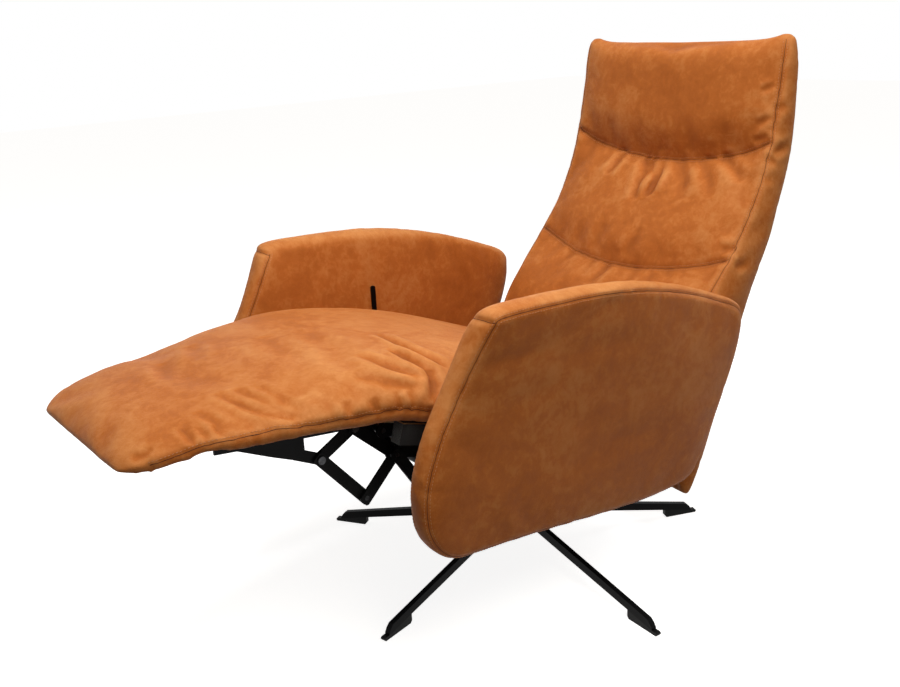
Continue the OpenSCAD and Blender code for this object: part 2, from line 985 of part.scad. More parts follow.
// One U-shaped section of the padded shell: thin at the front seams, full at mid depth. The
// points run round the outside from the right front seam to the left one and back inside. A
// closed section has its hollow filled almost up to the front, and a tuck draws its sides in.
function shell_ring(t, closed, tuck) =
    let(d = back_depth(t), inner = back_half - back_side_t, front = d - 5)
    let(floor_d = closed ? front - 3 : back_rear_t)
    let(outside = [
        [inner + 5, d - 1], [inner + 11 - tuck, 0.85 * d], [back_half - 5 - tuck, 0.66 * d],
        [back_half - tuck, 0.45 * d], [back_half - 1 - tuck, 0.25 * d],
        [back_half - 7 - tuck, 0.08 * d], [back_half - 20 - tuck, 0]
    ])
    let(inside = [
        for (k = [1, 0.9, 0.7, 0.45, 0.2, 0]) [inner, mix(floor_d, front, k)],
        [inner - 8, floor_d]
    ])
    let(last = len(outside) - 1, tip = [inner + 2, d - 1])
    [
        back_point(t, tip[0], tip[1]),
        for (p = outside) back_point(t, p[0], p[1]),
        for (i = [last:-1:0]) back_point(t, -outside[i][0], outside[i][1]),
        back_point(t, -tip[0], tip[1]),
        for (p = inside) back_point(t, -p[0], p[1]),
        for (i = [last:-1:0]) back_point(t, inside[i][0], inside[i][1])
    ];

module back_shell() {
    steps = 2;
    last = len(back_stations) - 1;
    places = [
        for (i = [0:steps * last - 1]) [i / steps, false, 0], [top_seam + 0.02, false, 1],
        [top_seam + 0.06, true, 2], [last - 0.06, true, 5], [last, true, 12]
    ];
    color(leather)
        loft([for (p = places) shell_ring(p[0], p[1], p[2])], true);
}

module back_cushion(from, to, dip_from, dip_to) {
    m = 26;
    n = 10;
    half = back_half - back_side_t - rest_gap;
    rear = back_rear_t + back_board_t + board_gap;
    color(leather)
        difference() {
            loft([for (i = [0:n])
                let(t = i / n, pillow = 1 - 0.42 * pow(abs(2 * t - 1), 5))
                [for (j = [0:m - 1])
                    let(a = -360 * j / m, u = power(cos(a), 5), v = (1 + power(sin(a), 5)) / 2)
                    let(s = mix(from, to, t) - mix(dip_from, dip_to, t) / station_step * (1 - u * u))
                    let(deep = (back_depth(s) - rear) * pillow + back_crown * (1 - u * u) * pillow)
                    back_point(s, half * u, rear + deep * v)]], true);
            both_sides()
                plate_yz(mech_half + layer_gap - rest_gap, steel_t + 2 * rest_gap)
                    bracket_slot2d();
        }
}

module head_cushion() {
    back_cushion(head_seam + 0.02, top_seam, seam_dip, 0);
}

module middle_cushion() {
    back_cushion(lumbar_seam + 0.02, head_seam - 0.02, seam_dip, seam_dip);
}

module low_cushion() {
    back_cushion(low_seam, lumbar_seam - 0.02, 0, seam_dip);
}

base_hub();
base_leg(0);  // base_leg_1
base_leg(1);  // base_leg_2
base_leg(2);  // base_leg_3
base_leg(3);  // base_leg_4
base_leg(4);  // base_leg_5
foot_glides();
column();
swivel_bushes();
thrust_bearing();
spindle();
swivel_plate();
plate_bolts();
front_channel();
rear_channel();
left_side_plate();
right_side_plate();
front_arm_tube();
rear_arm_tube();
frame_pins();
left_seat_rail();
right_seat_rail();
front_seat_rail();
rear_seat_rail();
seat_webbing();
seat_cushion();
left_arm_board();
right_arm_board();
left_arm();
right_arm();
gas_cylinder();
lever_bracket();
footrest_brackets();
footrest_rivets();
footrest_board();
footrest_screws();
leg_cushion();
carrier_links();
carrier_pins();
upper_links();
upper_rivets();
lower_links();
lower_pins();
tip_links();
tip_rivets();
drive_links();
drive_cranks();
torque_tube();
crank_pins();
back_brackets();
back_cross_rod();
back_board();
back_shell();
head_cushion();
middle_cushion();
low_cushion();
gas_rod();
release_lever();
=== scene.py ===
# %% [markdown]
# A swivel recliner in waxed tan leather, shown with its footrest out and its back part way down.
# The steel parts come from the CAD frame and only get a finish here. Everything that a hand
# would call soft is built here: two arms, the long chaise pad and the back, with the seams and
# stitches that hold their covers.

# %% Load the frame
import bpy
import json
import math
import numpy as np
from mathutils import Matrix, Vector
from mathutils.bvhtree import BVHTree
from mathutils.kdtree import KDTree


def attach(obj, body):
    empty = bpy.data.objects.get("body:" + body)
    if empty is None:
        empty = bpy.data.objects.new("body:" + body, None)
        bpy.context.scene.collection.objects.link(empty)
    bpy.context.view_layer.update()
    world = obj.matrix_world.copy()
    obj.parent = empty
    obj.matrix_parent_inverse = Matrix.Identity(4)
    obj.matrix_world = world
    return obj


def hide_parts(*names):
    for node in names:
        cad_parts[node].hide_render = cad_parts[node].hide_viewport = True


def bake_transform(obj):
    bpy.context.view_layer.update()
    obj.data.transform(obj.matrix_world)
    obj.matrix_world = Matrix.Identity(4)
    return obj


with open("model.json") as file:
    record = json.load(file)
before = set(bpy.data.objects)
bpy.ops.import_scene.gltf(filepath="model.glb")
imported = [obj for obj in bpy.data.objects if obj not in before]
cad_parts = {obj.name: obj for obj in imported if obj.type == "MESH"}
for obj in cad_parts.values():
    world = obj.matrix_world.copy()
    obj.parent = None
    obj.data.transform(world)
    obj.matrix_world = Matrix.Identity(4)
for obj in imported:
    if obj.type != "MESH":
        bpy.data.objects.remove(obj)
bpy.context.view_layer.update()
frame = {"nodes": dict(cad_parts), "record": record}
scene = bpy.context.scene

# %% [markdown]
# The camera comes first, because every later choice is judged through it. Its place and turn
# were solved from the five feet, which stand on one circle, and from the straight edges of the
# seat, the arms and the back. The lens is given as its real focal length, so the picture's
# proportions follow, and no shift is needed.

# %% Camera
AZIMUTH, PITCH, ROLL = (math.radians(a) for a in (52.9, 17.9, -2.9))
FOCAL_PX, PICTURE_W, PICTURE_H = 999, 900, 687
SENSOR_MM = 36
CAMERA_AT = Vector((1.430, -1.229, 1.061))


def aim_camera():
    level = Vector((-math.sin(AZIMUTH), math.cos(AZIMUTH), 0))
    right = Vector((math.cos(AZIMUTH), math.sin(AZIMUTH), 0))
    ahead = math.cos(PITCH) * level - math.sin(PITCH) * Vector((0, 0, 1))
    up = math.cos(PITCH) * Vector((0, 0, 1)) + math.sin(PITCH) * level
    side = math.cos(ROLL) * right + math.sin(ROLL) * up
    top = math.cos(ROLL) * up - math.sin(ROLL) * right
    data = bpy.data.cameras.new("camera")
    data.sensor_width = SENSOR_MM
    data.lens = FOCAL_PX / PICTURE_W * SENSOR_MM
    camera = bpy.data.objects.new("camera", data)
    scene.collection.objects.link(camera)
    turn = [[side[i], top[i], -ahead[i], CAMERA_AT[i]] for i in range(3)] + [[0, 0, 0, 1]]
    camera.matrix_world = Matrix(turn)
    scene.camera = camera


aim_camera()
print("camera lens", round(scene.camera.data.lens, 2), "mm")

# %% [markdown]
# The light is that of a plain product shot: one broad soft lamp nearly overhead, a weaker one on
# the camera's right, a third behind the back, and a dim warm world that fills the shadows. The
# floor and the world look white because of what they show to the rays that see or mirror them,
# not because more light falls on the chair, and the floor still keeps the chair's soft shadow.

# %% Colours, lamps and nodes
scene.view_settings.view_transform = "Standard"


def linear(r, g, b):
    """A colour as a screen shows it, from 0 to 255, as the light values that shaders use."""
    share = [c / 255 for c in (r, g, b)]
    return tuple(c / 12.92 if c <= 0.04045 else ((c + 0.055) / 1.055) ** 2.4 for c in share) + (1,)


def area_lamp(name, place, aim, size, power, colour=(1, 1, 1)):
    data = bpy.data.lights.new(name, "AREA")
    data.shape = "DISK"
    data.size = size
    data.energy = power
    data.color = colour
    lamp = bpy.data.objects.new(name, data)
    lamp.location = place
    lamp.rotation_euler = (Vector(aim) - Vector(place)).to_track_quat("-Z", "Y").to_euler()
    scene.collection.objects.link(lamp)


def feed(tree, socket, value):
    """Gives a socket its value, or a link where the value is the output of another node."""
    if hasattr(value, "is_output"):
        tree.links.new(value, socket)
    else:
        socket.default_value = value


def fill(tree, node, **inputs):
    for name, value in inputs.items():
        feed(tree, node.inputs[name.replace("_", " ")], value)
    return node


def add_node(tree, kind, *values, settings=(), **inputs):
    """A new node: its settings, then what goes into its first sockets and into named ones."""
    node = tree.nodes.new(kind)
    for name, value in dict(settings).items():
        setattr(node, name, value)
    for socket, value in zip(node.inputs, values):
        feed(tree, socket, value)
    return fill(tree, node, **inputs)


def maths(tree, kind, *values, clamp=False):
    settings = {"operation": kind, "use_clamp": clamp}
    return add_node(tree, "ShaderNodeMath", *values, settings=settings).outputs[0]


# %% Light and floor
def where_seen(tree, lit, shown):
    """One shader for the rays that light the chair, another for those that see or mirror it."""
    path = tree.nodes.new("ShaderNodeLightPath")
    share = path.outputs["Is Camera Ray"]
    for kind in ("Is Glossy Ray", "Is Transmission Ray"):
        share = maths(tree, "MAXIMUM", share, path.outputs[kind])
    return add_node(tree, "ShaderNodeMixShader", share, lit, shown).outputs[0]


def light_the_stage():
    area_lamp("key", (0.25, -0.38, 2.75), (0, -0.2, 0.5), 1.4, 52.5)
    area_lamp("fill", (1.8, -0.6, 2.3), (0.1, 0, 0.7), 1.2, 23, (1, 0.95, 0.86))
    area_lamp("rear", (0.6, 2.6, 2.2), (0, 0.1, 0.6), 1.4, 10)
    world = bpy.data.worlds.new("studio")
    scene.world = world
    world.use_nodes = True
    tree = world.node_tree
    tree.nodes.clear()
    dim = add_node(tree, "ShaderNodeBackground", Color=(1, 0.9, 0.76, 1), Strength=0.14)
    white = add_node(tree, "ShaderNodeBackground", Color=(1, 1, 1, 1), Strength=1.0)
    add_node(tree, "ShaderNodeOutputWorld", where_seen(tree, dim.outputs[0], white.outputs[0]))


def lay_floor(half=12):
    mesh = bpy.data.meshes.new("floor")
    mesh.from_pydata([(-half, -half, 0), (half, -half, 0), (half, half, 0), (-half, half, 0)], [],
                     [(0, 1, 2, 3)])
    floor = bpy.data.objects.new("floor", mesh)
    scene.collection.objects.link(floor)
    material = bpy.data.materials.new("floor_white")
    material.use_nodes = True
    tree = material.node_tree
    tree.nodes.clear()
    matte = add_node(tree, "ShaderNodeBsdfDiffuse", Color=(0.15, 0.14, 0.13, 1))
    pale = add_node(tree, "ShaderNodeBsdfDiffuse", Color=(0.8, 0.8, 0.8, 1))
    glow = add_node(tree, "ShaderNodeEmission", Color=(1, 1, 1, 1), Strength=0.88)
    both = add_node(tree, "ShaderNodeAddShader", pale.outputs[0], glow.outputs[0])
    add_node(tree, "ShaderNodeOutputMaterial", where_seen(tree, matte.outputs[0], both.outputs[0]))
    mesh.materials.append(material)


light_the_stage()
lay_floor()

# %% [markdown]
# Waxed pull-up leather is cloudy: the wax moves when the hide is bent, so crests turn pale, and
# years of handling leave scuffs. Valleys and the leather along seams are painted darker as shade,
# and what faces up is painted paler as top light, partly also as wear. The clouds, scuffs and
# grain are one node group with its scales and colours as inputs, so that another hide can use it
# with its own values. What changes over the surface reaches it as two attributes that the cover's
# mesh carries: how near a seam is, and how far a point stands out of its surroundings, with the
# painted top light added to the second.

# %% Helpers for patterns
def new_group(name, inputs, outputs, kind_of_tree="ShaderNodeTree"):
    group = bpy.data.node_groups.new(name, kind_of_tree)
    for label, kind, value in inputs:
        socket = group.interface.new_socket(label, in_out="INPUT", socket_type=kind)
        if value is not None:
            socket.default_value = value
    for label, kind in outputs:
        group.interface.new_socket(label, in_out="OUTPUT", socket_type=kind)
    return group, group.nodes.new("NodeGroupInput"), group.nodes.new("NodeGroupOutput")


def noise(tree, vector, scale, detail=4.0, roughness=0.6, distortion=0.0):
    return add_node(tree, "ShaderNodeTexNoise", Vector=vector, Scale=scale, Detail=detail,
                    Roughness=roughness, Distortion=distortion).outputs["Fac"]


def mapped(tree, place, **values):
    """The place moved, turned or stretched, so that a pattern lies as the material does."""
    return add_node(tree, "ShaderNodeMapping", Vector=place, **values).outputs["Vector"]


def steps(tree, value, stops, smooth=True):
    ramp = add_node(tree, "ShaderNodeValToRGB", value)
    ramp.color_ramp.interpolation = "EASE" if smooth else "LINEAR"
    elements = ramp.color_ramp.elements
    while len(elements) < len(stops):
        elements.new(0.5)
    for element, (place, colour) in zip(elements, stops):
        element.position = place
        element.color = colour if hasattr(colour, "__len__") else (colour, colour, colour, 1)
    return ramp.outputs["Color"]


def shares(tree, value, low, high, smooth=True):
    """From 0 where the value is low or less to 1 where it is high or more."""
    return steps(tree, value, [(low, 0.0), (high, 1.0)], smooth)


def patches(tree, place, scale, detail, roughness, low, high, distortion=0.0):
    """Clouds of noise, from 0 where it is below low to 1 where it is above high."""
    return shares(tree, noise(tree, place, scale, detail, roughness, distortion), low, high)


def blend_colours(tree, share, a, b):
    mix = add_node(tree, "ShaderNodeMix", share, settings={"data_type": "RGBA"})
    feed(tree, mix.inputs[6], a)
    feed(tree, mix.inputs[7], b)
    return mix.outputs[2]


def weighted(tree, terms, plus=0.0, clamp=False):
    """The sum of some values, each times its weight, and of one more number."""
    total = plus
    for value, weight in terms:
        total = maths(tree, "MULTIPLY_ADD", value, weight, total, clamp=clamp)
    return total


# %% Node group for a worn hide
def build_hide_group():
    """Clouds, scuffs, grain and pale crests of a waxed hide, from a place and two attributes.
    Valleys and seams get painted shade, and the Fold attribute brings a painted paler top.
    """
    tree, given, result = new_group(
        "hide_wear_and_painted_light",
        [("Vector", "NodeSocketVector", None), ("Seam", "NodeSocketFloat", 0.0),
         ("Fold", "NodeSocketFloat", 0.0), ("Cloud Scale", "NodeSocketFloat", 5.0),
         ("Grain Scale", "NodeSocketFloat", 620.0), ("Wear", "NodeSocketFloat", 1.0),
         ("Dark", "NodeSocketColor", linear(146, 75, 24)),
         ("Middle", "NodeSocketColor", linear(180, 101, 41)),
         ("Light", "NodeSocketColor", linear(206, 138, 79)),
         ("Seam And Valley Shade", "NodeSocketColor", linear(88, 45, 19))],
        [("Color", "NodeSocketColor"), ("Roughness", "NodeSocketFloat"),
         ("Height", "NodeSocketFloat")])
    given = given.outputs
    wider = add_node(tree, "ShaderNodeVectorMath", given["Vector"], Scale=given["Cloud Scale"],
                     settings={"operation": "SCALE"}).outputs[0]
    broad = patches(tree, wider, 0.75, 3, 0.55, 0.36, 0.66, 0.6)
    patch = patches(tree, wider, 3.1, 7, 0.68, 0.36, 0.68, 0.9)
    mottle = patches(tree, wider, 13.0, 6, 0.72, 0.38, 0.66, 0.4)
    scuff = patches(tree, wider, 44.0, 5, 0.8, 0.60, 0.74, 1.8)
    # crest: the pull-up paleness of bent leather, together with the painted paler top that Fold
    # carries; valley: painted shade in the creases
    crest = maths(tree, "MAXIMUM", given["Fold"], 0.0)
    valley = maths(tree, "MAXIMUM", maths(tree, "MULTIPLY", given["Fold"], -1.0), 0.0)
    tone = weighted(tree, [(broad, 0.34), (patch, 0.36), (mottle, 0.30)])
    tone = maths(tree, "MULTIPLY_ADD", tone, 0.56, 0.21)
    tone = weighted(tree, [(crest, 0.30), (valley, -0.25)], tone, clamp=True)
    colour = blend_colours(tree, shares(tree, tone, 0.0, 0.52, False), given["Dark"],
                           given["Middle"])
    colour = blend_colours(tree, shares(tree, tone, 0.48, 1.0, False), colour, given["Light"])
    scuffed = maths(tree, "MULTIPLY", maths(tree, "MULTIPLY", scuff, 0.34), given["Wear"])
    # painted shade: the leather in valleys and along seams is blended towards the dark shade
    # colour
    sewn = maths(tree, "MULTIPLY", given["Seam"], 0.55, clamp=True)
    for share, over in ((scuffed, "Light"), (maths(tree, "MULTIPLY", valley, 0.22), "Seam And Valley Shade"),
                        (sewn, "Seam And Valley Shade")):
        colour = blend_colours(tree, share, colour, given[over])
    pores = add_node(tree, "ShaderNodeTexVoronoi", Vector=given["Vector"],
                     Scale=given["Grain Scale"], Randomness=1.0,
                     settings={"feature": "DISTANCE_TO_EDGE"})
    cracks = shares(tree, pores.outputs["Distance"], 0.0, 0.16)
    pulled = noise(tree, given["Vector"], 240.0, 4, 0.6)
    fill(tree, result, Color=colour,
         Roughness=weighted(tree, [(tone, 0.10), (scuff, 0.08), (cracks, -0.03)], 0.47),
         Height=weighted(tree, [(cracks, 0.6), (pulled, 0.8), (mottle, 0.5)]))
    return tree


HIDE = build_hide_group()
print("hide group has", len(HIDE.nodes), "nodes")

# %% [markdown]
# Two more effects are shared, so each is a group that the finishes place with their own values.
# Uneven patches are dust on the powder coat, dull spots on the zinc and rubbed places on the
# nylon. A plain weave makes both the wide webbing and the fine lining. Both could be painted,
# but a pattern out of noise and waves needs no picture and stays sharp at any distance.

# %% Node groups for patches and for a weave
def build_patches_group():
    """Uneven patches, from 0 where the noise is below Low to 1 where it is above High."""
    tree, given, result = new_group(
        "uneven_patches",
        [("Vector", "NodeSocketVector", None), ("Scale", "NodeSocketFloat", 30.0),
         ("Detail", "NodeSocketFloat", 5.0), ("Distortion", "NodeSocketFloat", 0.0),
         ("Low", "NodeSocketFloat", 0.4), ("High", "NodeSocketFloat", 0.7)],
        [("Share", "NodeSocketFloat")])
    given = given.outputs
    spots = noise(tree, given["Vector"], given["Scale"], given["Detail"], 0.7, given["Distortion"])
    share = add_node(tree, "ShaderNodeMapRange", spots, given["Low"], given["High"],
                     settings={"interpolation_type": "SMOOTHSTEP"})
    fill(tree, result, Share=share.outputs[0])
    return tree


def build_weave_group():
    """A plain weave: two families of threads that cross, one over the other in turn."""
    tree, given, result = new_group(
        "plain_weave",
        [("Vector", "NodeSocketVector", None), ("Pitch", "NodeSocketFloat", 400.0),
         ("Dark", "NodeSocketColor", linear(12, 12, 12)),
         ("Light", "NodeSocketColor", linear(40, 40, 40))],
        [("Color", "NodeSocketColor"), ("Height", "NodeSocketFloat")])
    given = given.outputs
    families = [add_node(tree, "ShaderNodeTexWave", Scale=given["Pitch"], Distortion=0.3,
                         Vector=mapped(tree, given["Vector"], Rotation=(0, 0, turn)))
                for turn in (0.0, math.pi / 2)]
    weave = maths(tree, "MULTIPLY", *(family.outputs["Fac"] for family in families))
    colour = blend_colours(tree, shares(tree, weave, 0.05, 0.6), given["Dark"], given["Light"])
    fill(tree, result, Color=colour, Height=weave)
    return tree


PATCHES = build_patches_group()
WEAVE = build_weave_group()
print("groups:", [group.name for group in bpy.data.node_groups])

# %% [markdown]
# Each finish is one function. They all start the same way, with a Principled shader whose
# constant values sit on its own sockets and object coordinates for the pattern, so that a
# finish stays where it is when the chair moves. All but the seams' raw edge end with a Bump
# node for the relief.

# %% How a finish starts and ends
def finish(name, **shader_values):
    """A new material with its node tree, its Principled shader and the object coordinates."""
    material = bpy.data.materials.new(name)
    material.use_nodes = True
    tree = material.node_tree
    shader = fill(tree, tree.nodes["Principled BSDF"], **shader_values)
    return material, tree, shader, tree.nodes.new("ShaderNodeTexCoord").outputs["Object"]


def dress(tree, shader, colour, height, distance, strength=1.0, **more):
    """Feeds the shader with what changes over the surface: colour, relief and roughness."""
    relief = add_node(tree, "ShaderNodeBump", Strength=strength, Distance=distance, Height=height)
    fill(tree, shader, Base_Color=colour, Normal=relief.outputs["Normal"], **more)


def placed(tree, group, **inputs):
    """A node group placed in a material with its own values; gives the group's outputs."""
    return add_node(tree, "ShaderNodeGroup", settings={"node_tree": group}, **inputs).outputs


# %% Leather, its sewn edge and the thread
def leather_finish(name, offset):
    material, tree, shader, place = finish(name, Specular_IOR_Level=0.09, Sheen_Weight=0.06,
                                           Sheen_Roughness=0.5, Sheen_Tint=linear(255, 224, 190))
    # seam and fold bring the painted shade along seams and in valleys, and the painted paler top
    seam, fold = (add_node(tree, "ShaderNodeAttribute", settings={"attribute_name": stored})
                  for stored in ("seam", "fold"))
    hide = placed(tree, HIDE, Vector=mapped(tree, place, Location=offset),
                  Seam=seam.outputs["Fac"], Fold=fold.outputs["Fac"])
    dress(tree, shader, hide["Color"], hide["Height"], 0.0005, 0.6, Roughness=hide["Roughness"])
    return material


def seam_finish():
    """The dark edge of the hide where two panels are sewn together."""
    material, tree, shader, place = finish("seam_edge", Specular_IOR_Level=0.2, Roughness=0.75)
    colour = steps(tree, noise(tree, place, 160.0), [(0.35, linear(62, 31, 14)),
                                                     (0.7, linear(98, 52, 24))])
    fill(tree, shader, Base_Color=colour)
    return material


def thread_finish():
    """Waxed polyester thread: the twist shows as fine slanting bands."""
    material, tree, shader, place = finish("thread", Specular_IOR_Level=0.35, Roughness=0.5)
    twist = add_node(tree, "ShaderNodeTexWave", Vector=place, Scale=420.0, Distortion=0.6,
                     settings={"bands_direction": "DIAGONAL"}).outputs["Fac"]
    colour = steps(tree, twist, [(0.2, linear(150, 84, 40)), (0.8, linear(214, 150, 98))])
    dress(tree, shader, colour, twist, 0.0002)
    return material


# %% Steel and nylon
def powder_coat_finish():
    """Black powder coat: a fine orange peel, a little dust on top of it, brighter worn spots."""
    material, tree, shader, place = finish("powder_coat", Specular_IOR_Level=0.06)
    dust = placed(tree, PATCHES, Vector=place, Scale=22.0, Detail=6, Distortion=0.5, Low=0.45,
                  High=0.8)["Share"]
    colour = blend_colours(tree, maths(tree, "MULTIPLY", dust, 0.2), linear(6, 6, 7),
                           linear(32, 31, 29))
    peel = noise(tree, place, 900.0, 2, 0.5)
    dress(tree, shader, colour, peel, 0.00012, 0.7,
          Roughness=maths(tree, "MULTIPLY_ADD", dust, 0.14, 0.40))
    return material


def zinc_finish():
    """Zinc-plated steel that has gone dull, with soft drawing marks and cloudy spots."""
    material, tree, shader, place = finish("zinc", Metallic=1.0)
    marks = noise(tree, mapped(tree, place, Scale=(60, 700, 700)), 1.0, 3, 0.6)
    spots = placed(tree, PATCHES, Vector=place, Scale=90.0, Low=0.4, High=0.7)["Share"]
    colour = blend_colours(tree, spots, linear(66, 67, 69), linear(44, 44, 46))
    dress(tree, shader, colour, marks, 0.00006,
          Roughness=maths(tree, "MULTIPLY_ADD", marks, 0.22, 0.2))
    return material


def nylon_finish():
    """Moulded black nylon: a fine spark-eroded texture, rubbed smoother in places."""
    material, tree, shader, place = finish("nylon", Specular_IOR_Level=0.1)
    rubbed = placed(tree, PATCHES, Vector=place, Scale=35.0, Low=0.4, High=0.75)["Share"]
    colour = blend_colours(tree, rubbed, linear(11, 11, 12), linear(24, 24, 24))
    sparks = noise(tree, place, 1400.0, 3, 0.6)
    dress(tree, shader, colour, sparks, 0.00015,
          Roughness=maths(tree, "MULTIPLY_ADD", rubbed, 0.2, 0.42))
    return material


# %% Wood and cloth
def birch_finish():
    """Birch plywood: long pale grain with broad darker bands."""
    material, tree, shader, place = finish("birch", Specular_IOR_Level=0.3)
    grain = noise(tree, mapped(tree, place, Scale=(90, 4, 40)), 1.0, 8, 0.62, 0.8)
    bands = noise(tree, mapped(tree, place, Scale=(14, 1, 9)), 1.0, 4, 0.5, 1.4)
    colour = steps(tree, grain, [(0.3, linear(176, 142, 98)), (0.7, linear(222, 196, 154))])
    colour = blend_colours(tree, steps(tree, bands, [(0.35, 0.0), (0.75, 0.5)]), colour,
                           linear(160, 120, 76))
    dress(tree, shader, colour, grain, 0.0003,
          Roughness=maths(tree, "MULTIPLY_ADD", grain, 0.2, 0.5))
    return material


def woven_finish(name, dark, light, pitch):
    """A cloth or a strap in plain weave, with its own colours and pitch."""
    material, tree, shader, place = finish(name, Specular_IOR_Level=0.25, Sheen_Weight=0.25,
                                           Roughness=0.82)
    weave = placed(tree, WEAVE, Vector=place, Pitch=pitch, Dark=dark, Light=light)
    dress(tree, shader, weave["Color"], weave["Height"], 0.0004)
    return material


# %% Every part gets its finish
LEATHER = leather_finish("leather", (0.37, 1.9, 0.64))
SEAM = seam_finish()
THREAD = thread_finish()
LINING = woven_finish("lining", linear(9, 9, 10), linear(34, 33, 33), 520.0)
FINISH_OF_SLOT = {
    "leather": LEATHER, "powder_coat": powder_coat_finish(), "bright_steel": zinc_finish(),
    "birch": birch_finish(), "plastic": nylon_finish(),
    "webbing": woven_finish("webbing", linear(14, 13, 13), linear(58, 55, 52), 260.0)}
for part in frame["record"]["subparts"]:
    mesh = frame["nodes"][part["node"]].data
    mesh.materials.clear()
    mesh.materials.append(FINISH_OF_SLOT[part["material_slot"]])
print("finishes:", sorted(m.name for m in bpy.data.materials if m.users))

# %% [markdown]
# All the soft forms are drawn with the same two helpers: a smooth curve through a few points,
# and a loft that joins one ring of points to the next. A cover that comes out of them is only a
# tailor's pattern, too even to look stuffed, so a later step turns it into cloth.

# %% Curves and lofts
MM = 0.001


def along(points, at, closed=False):
    """The places at, counted in points, on a smooth curve through the given points."""
    p = np.array(points, float)
    n = len(p)
    spans = n if closed else n - 1
    i = np.clip(at.astype(int), 0, spans - 1)
    t = (at - i)[:, None]

    def pick(k):
        return p[k % n] if closed else p[np.clip(k, 0, n - 1)]

    a, b, c, d = pick(i - 1), pick(i), pick(i + 1), pick(i + 2)
    return (2 * b + (c - a) * t + (2 * a - 5 * b + 4 * c - d) * t**2
            + (3 * b - a - 3 * c + d) * t**3) / 2


def through(points, per_span, closed=False):
    """Points on a smooth curve, per_span of them from each given point to the next."""
    spans = len(points) if closed else len(points) - 1
    return along(points, np.arange(spans * per_span + (0 if closed else 1)) / per_span, closed)


def rounded(v, n):
    """Turns the sine or cosine of a circle into that of a rounded square, squarer as n grows."""
    return np.sign(v) * np.abs(v) ** (2 / n)


def lofted(rings):
    """Vertices and faces of a closed form through rings of equal length, its ends closed."""
    n, m = len(rings), len(rings[0])
    points = [p for ring in rings for p in ring]
    faces = [(i * m + j, i * m + (j + 1) % m, (i + 1) * m + (j + 1) % m, (i + 1) * m + j)
             for i in range(n - 1) for j in range(m)]
    faces.append(tuple(reversed(range(m))))
    faces.append(tuple(range((n - 1) * m, n * m)))
    return points, faces


def new_piece(name, forms, material):
    """One mesh object out of one or more (vertices, faces) forms."""
    points, faces = [], []
    for some_points, some_faces in forms:
        start = len(points)
        points += [tuple(p) for p in some_points]
        faces += [tuple(i + start for i in f) for f in some_faces]
    mesh = bpy.data.meshes.new(name)
    mesh.from_pydata(points, [], faces)
    mesh.materials.append(material)
    piece = bpy.data.objects.new(name, mesh)
    scene.collection.objects.link(piece)
    return piece


# %% Reading and rebuilding meshes
def rows_of(items, name, width=3, kind=float):
    """One property of all the items, a row of width numbers for each."""
    values = np.empty(len(items) * width, kind)
    items.foreach_get(name, values)
    return values.reshape(-1, width)


def places(piece):
    return rows_of(piece.data.vertices, "co")


def normals(piece):
    return rows_of(piece.data.vertex_normals, "vector")


def put(piece, co):
    piece.data.vertices.foreach_set("co", co.ravel())
    piece.data.update()


def shade_smooth(piece):
    piece.data.polygons.foreach_set("use_smooth", [True] * len(piece.data.polygons))


def bake_modifiers(piece):
    """Keeps what the piece's modifiers make of it as its own plain mesh."""
    depsgraph = bpy.context.evaluated_depsgraph_get()
    mesh = bpy.data.meshes.new_from_object(piece.evaluated_get(depsgraph))
    old = piece.data
    piece.modifiers.clear()
    piece.data = mesh
    bpy.data.meshes.remove(old)


def even_mesh(piece, size):
    """Rebuilds the surface out of squares of one size, and joins what overlaps."""
    modifier = piece.modifiers.new("even", "REMESH")
    modifier.mode = "VOXEL"
    modifier.voxel_size = size
    modifier.use_smooth_shade = True
    bake_modifiers(piece)


def relax(piece, rounds, share=0.5, free=None):
    """Moves each vertex towards the middle of its neighbours, rounds times."""
    co = places(piece)
    a, b = rows_of(piece.data.edges, "vertices", 2, int).T
    count = np.bincount(a, minlength=len(co)) + np.bincount(b, minlength=len(co))
    weight = share if free is None else share * free[:, None]
    for _ in range(rounds):
        total = np.stack([np.bincount(a, co[b, k], len(co)) + np.bincount(b, co[a, k], len(co))
                          for k in range(3)], 1)
        co = co + weight * (total / np.maximum(count, 1)[:, None] - co)
    return co


# %% [markdown]
# The covers follow the same patterns as the CAD's cushions: one closed outline for an arm, and
# stations along the chaise pad and up the back. The numbers are millimetres in the side view,
# first towards the rear and then up, for the pose in the photo. A station of the pad gives its
# place, the height of its top and how far its sides are drawn in. A station of the back gives a
# point of its front and the point of its rear face behind it.

# %% Patterns of the covers
ARM_OUTLINE = [
    (-328, 648), (-219, 646), (-109, 639), (3, 621), (114, 591), (202, 559), (260, 533),
    (273, 500), (257, 438), (221, 365), (184, 295), (159, 255), (128, 230), (46, 226),
    (-59, 234), (-157, 246), (-259, 259), (-357, 269), (-408, 274), (-440, 291), (-464, 328),
    (-470, 373), (-461, 421), (-436, 479), (-399, 539), (-366, 599), (-346, 634)]
ARM_INNER, ARM_OUTER, ARM_CROWN = 304, 350, 13
PAD_STATIONS = [
    (164, 388, 2), (100, 404, 0), (20, 434, 0), (-80, 475, 0), (-170, 509, 0), (-260, 535, 0),
    (-340, 553, 4), (-400, 563, 12), (-445, 566, 22), (-500, 565, 31), (-570, 559, 41),
    (-640, 550, 55), (-705, 540, 70), (-765, 529, 85), (-812, 519, 96), (-843, 510, 113),
    (-857, 502, 146)]
PAD_HALF, FOLD_Y, FOLD_Z = 290, -444.5, 483
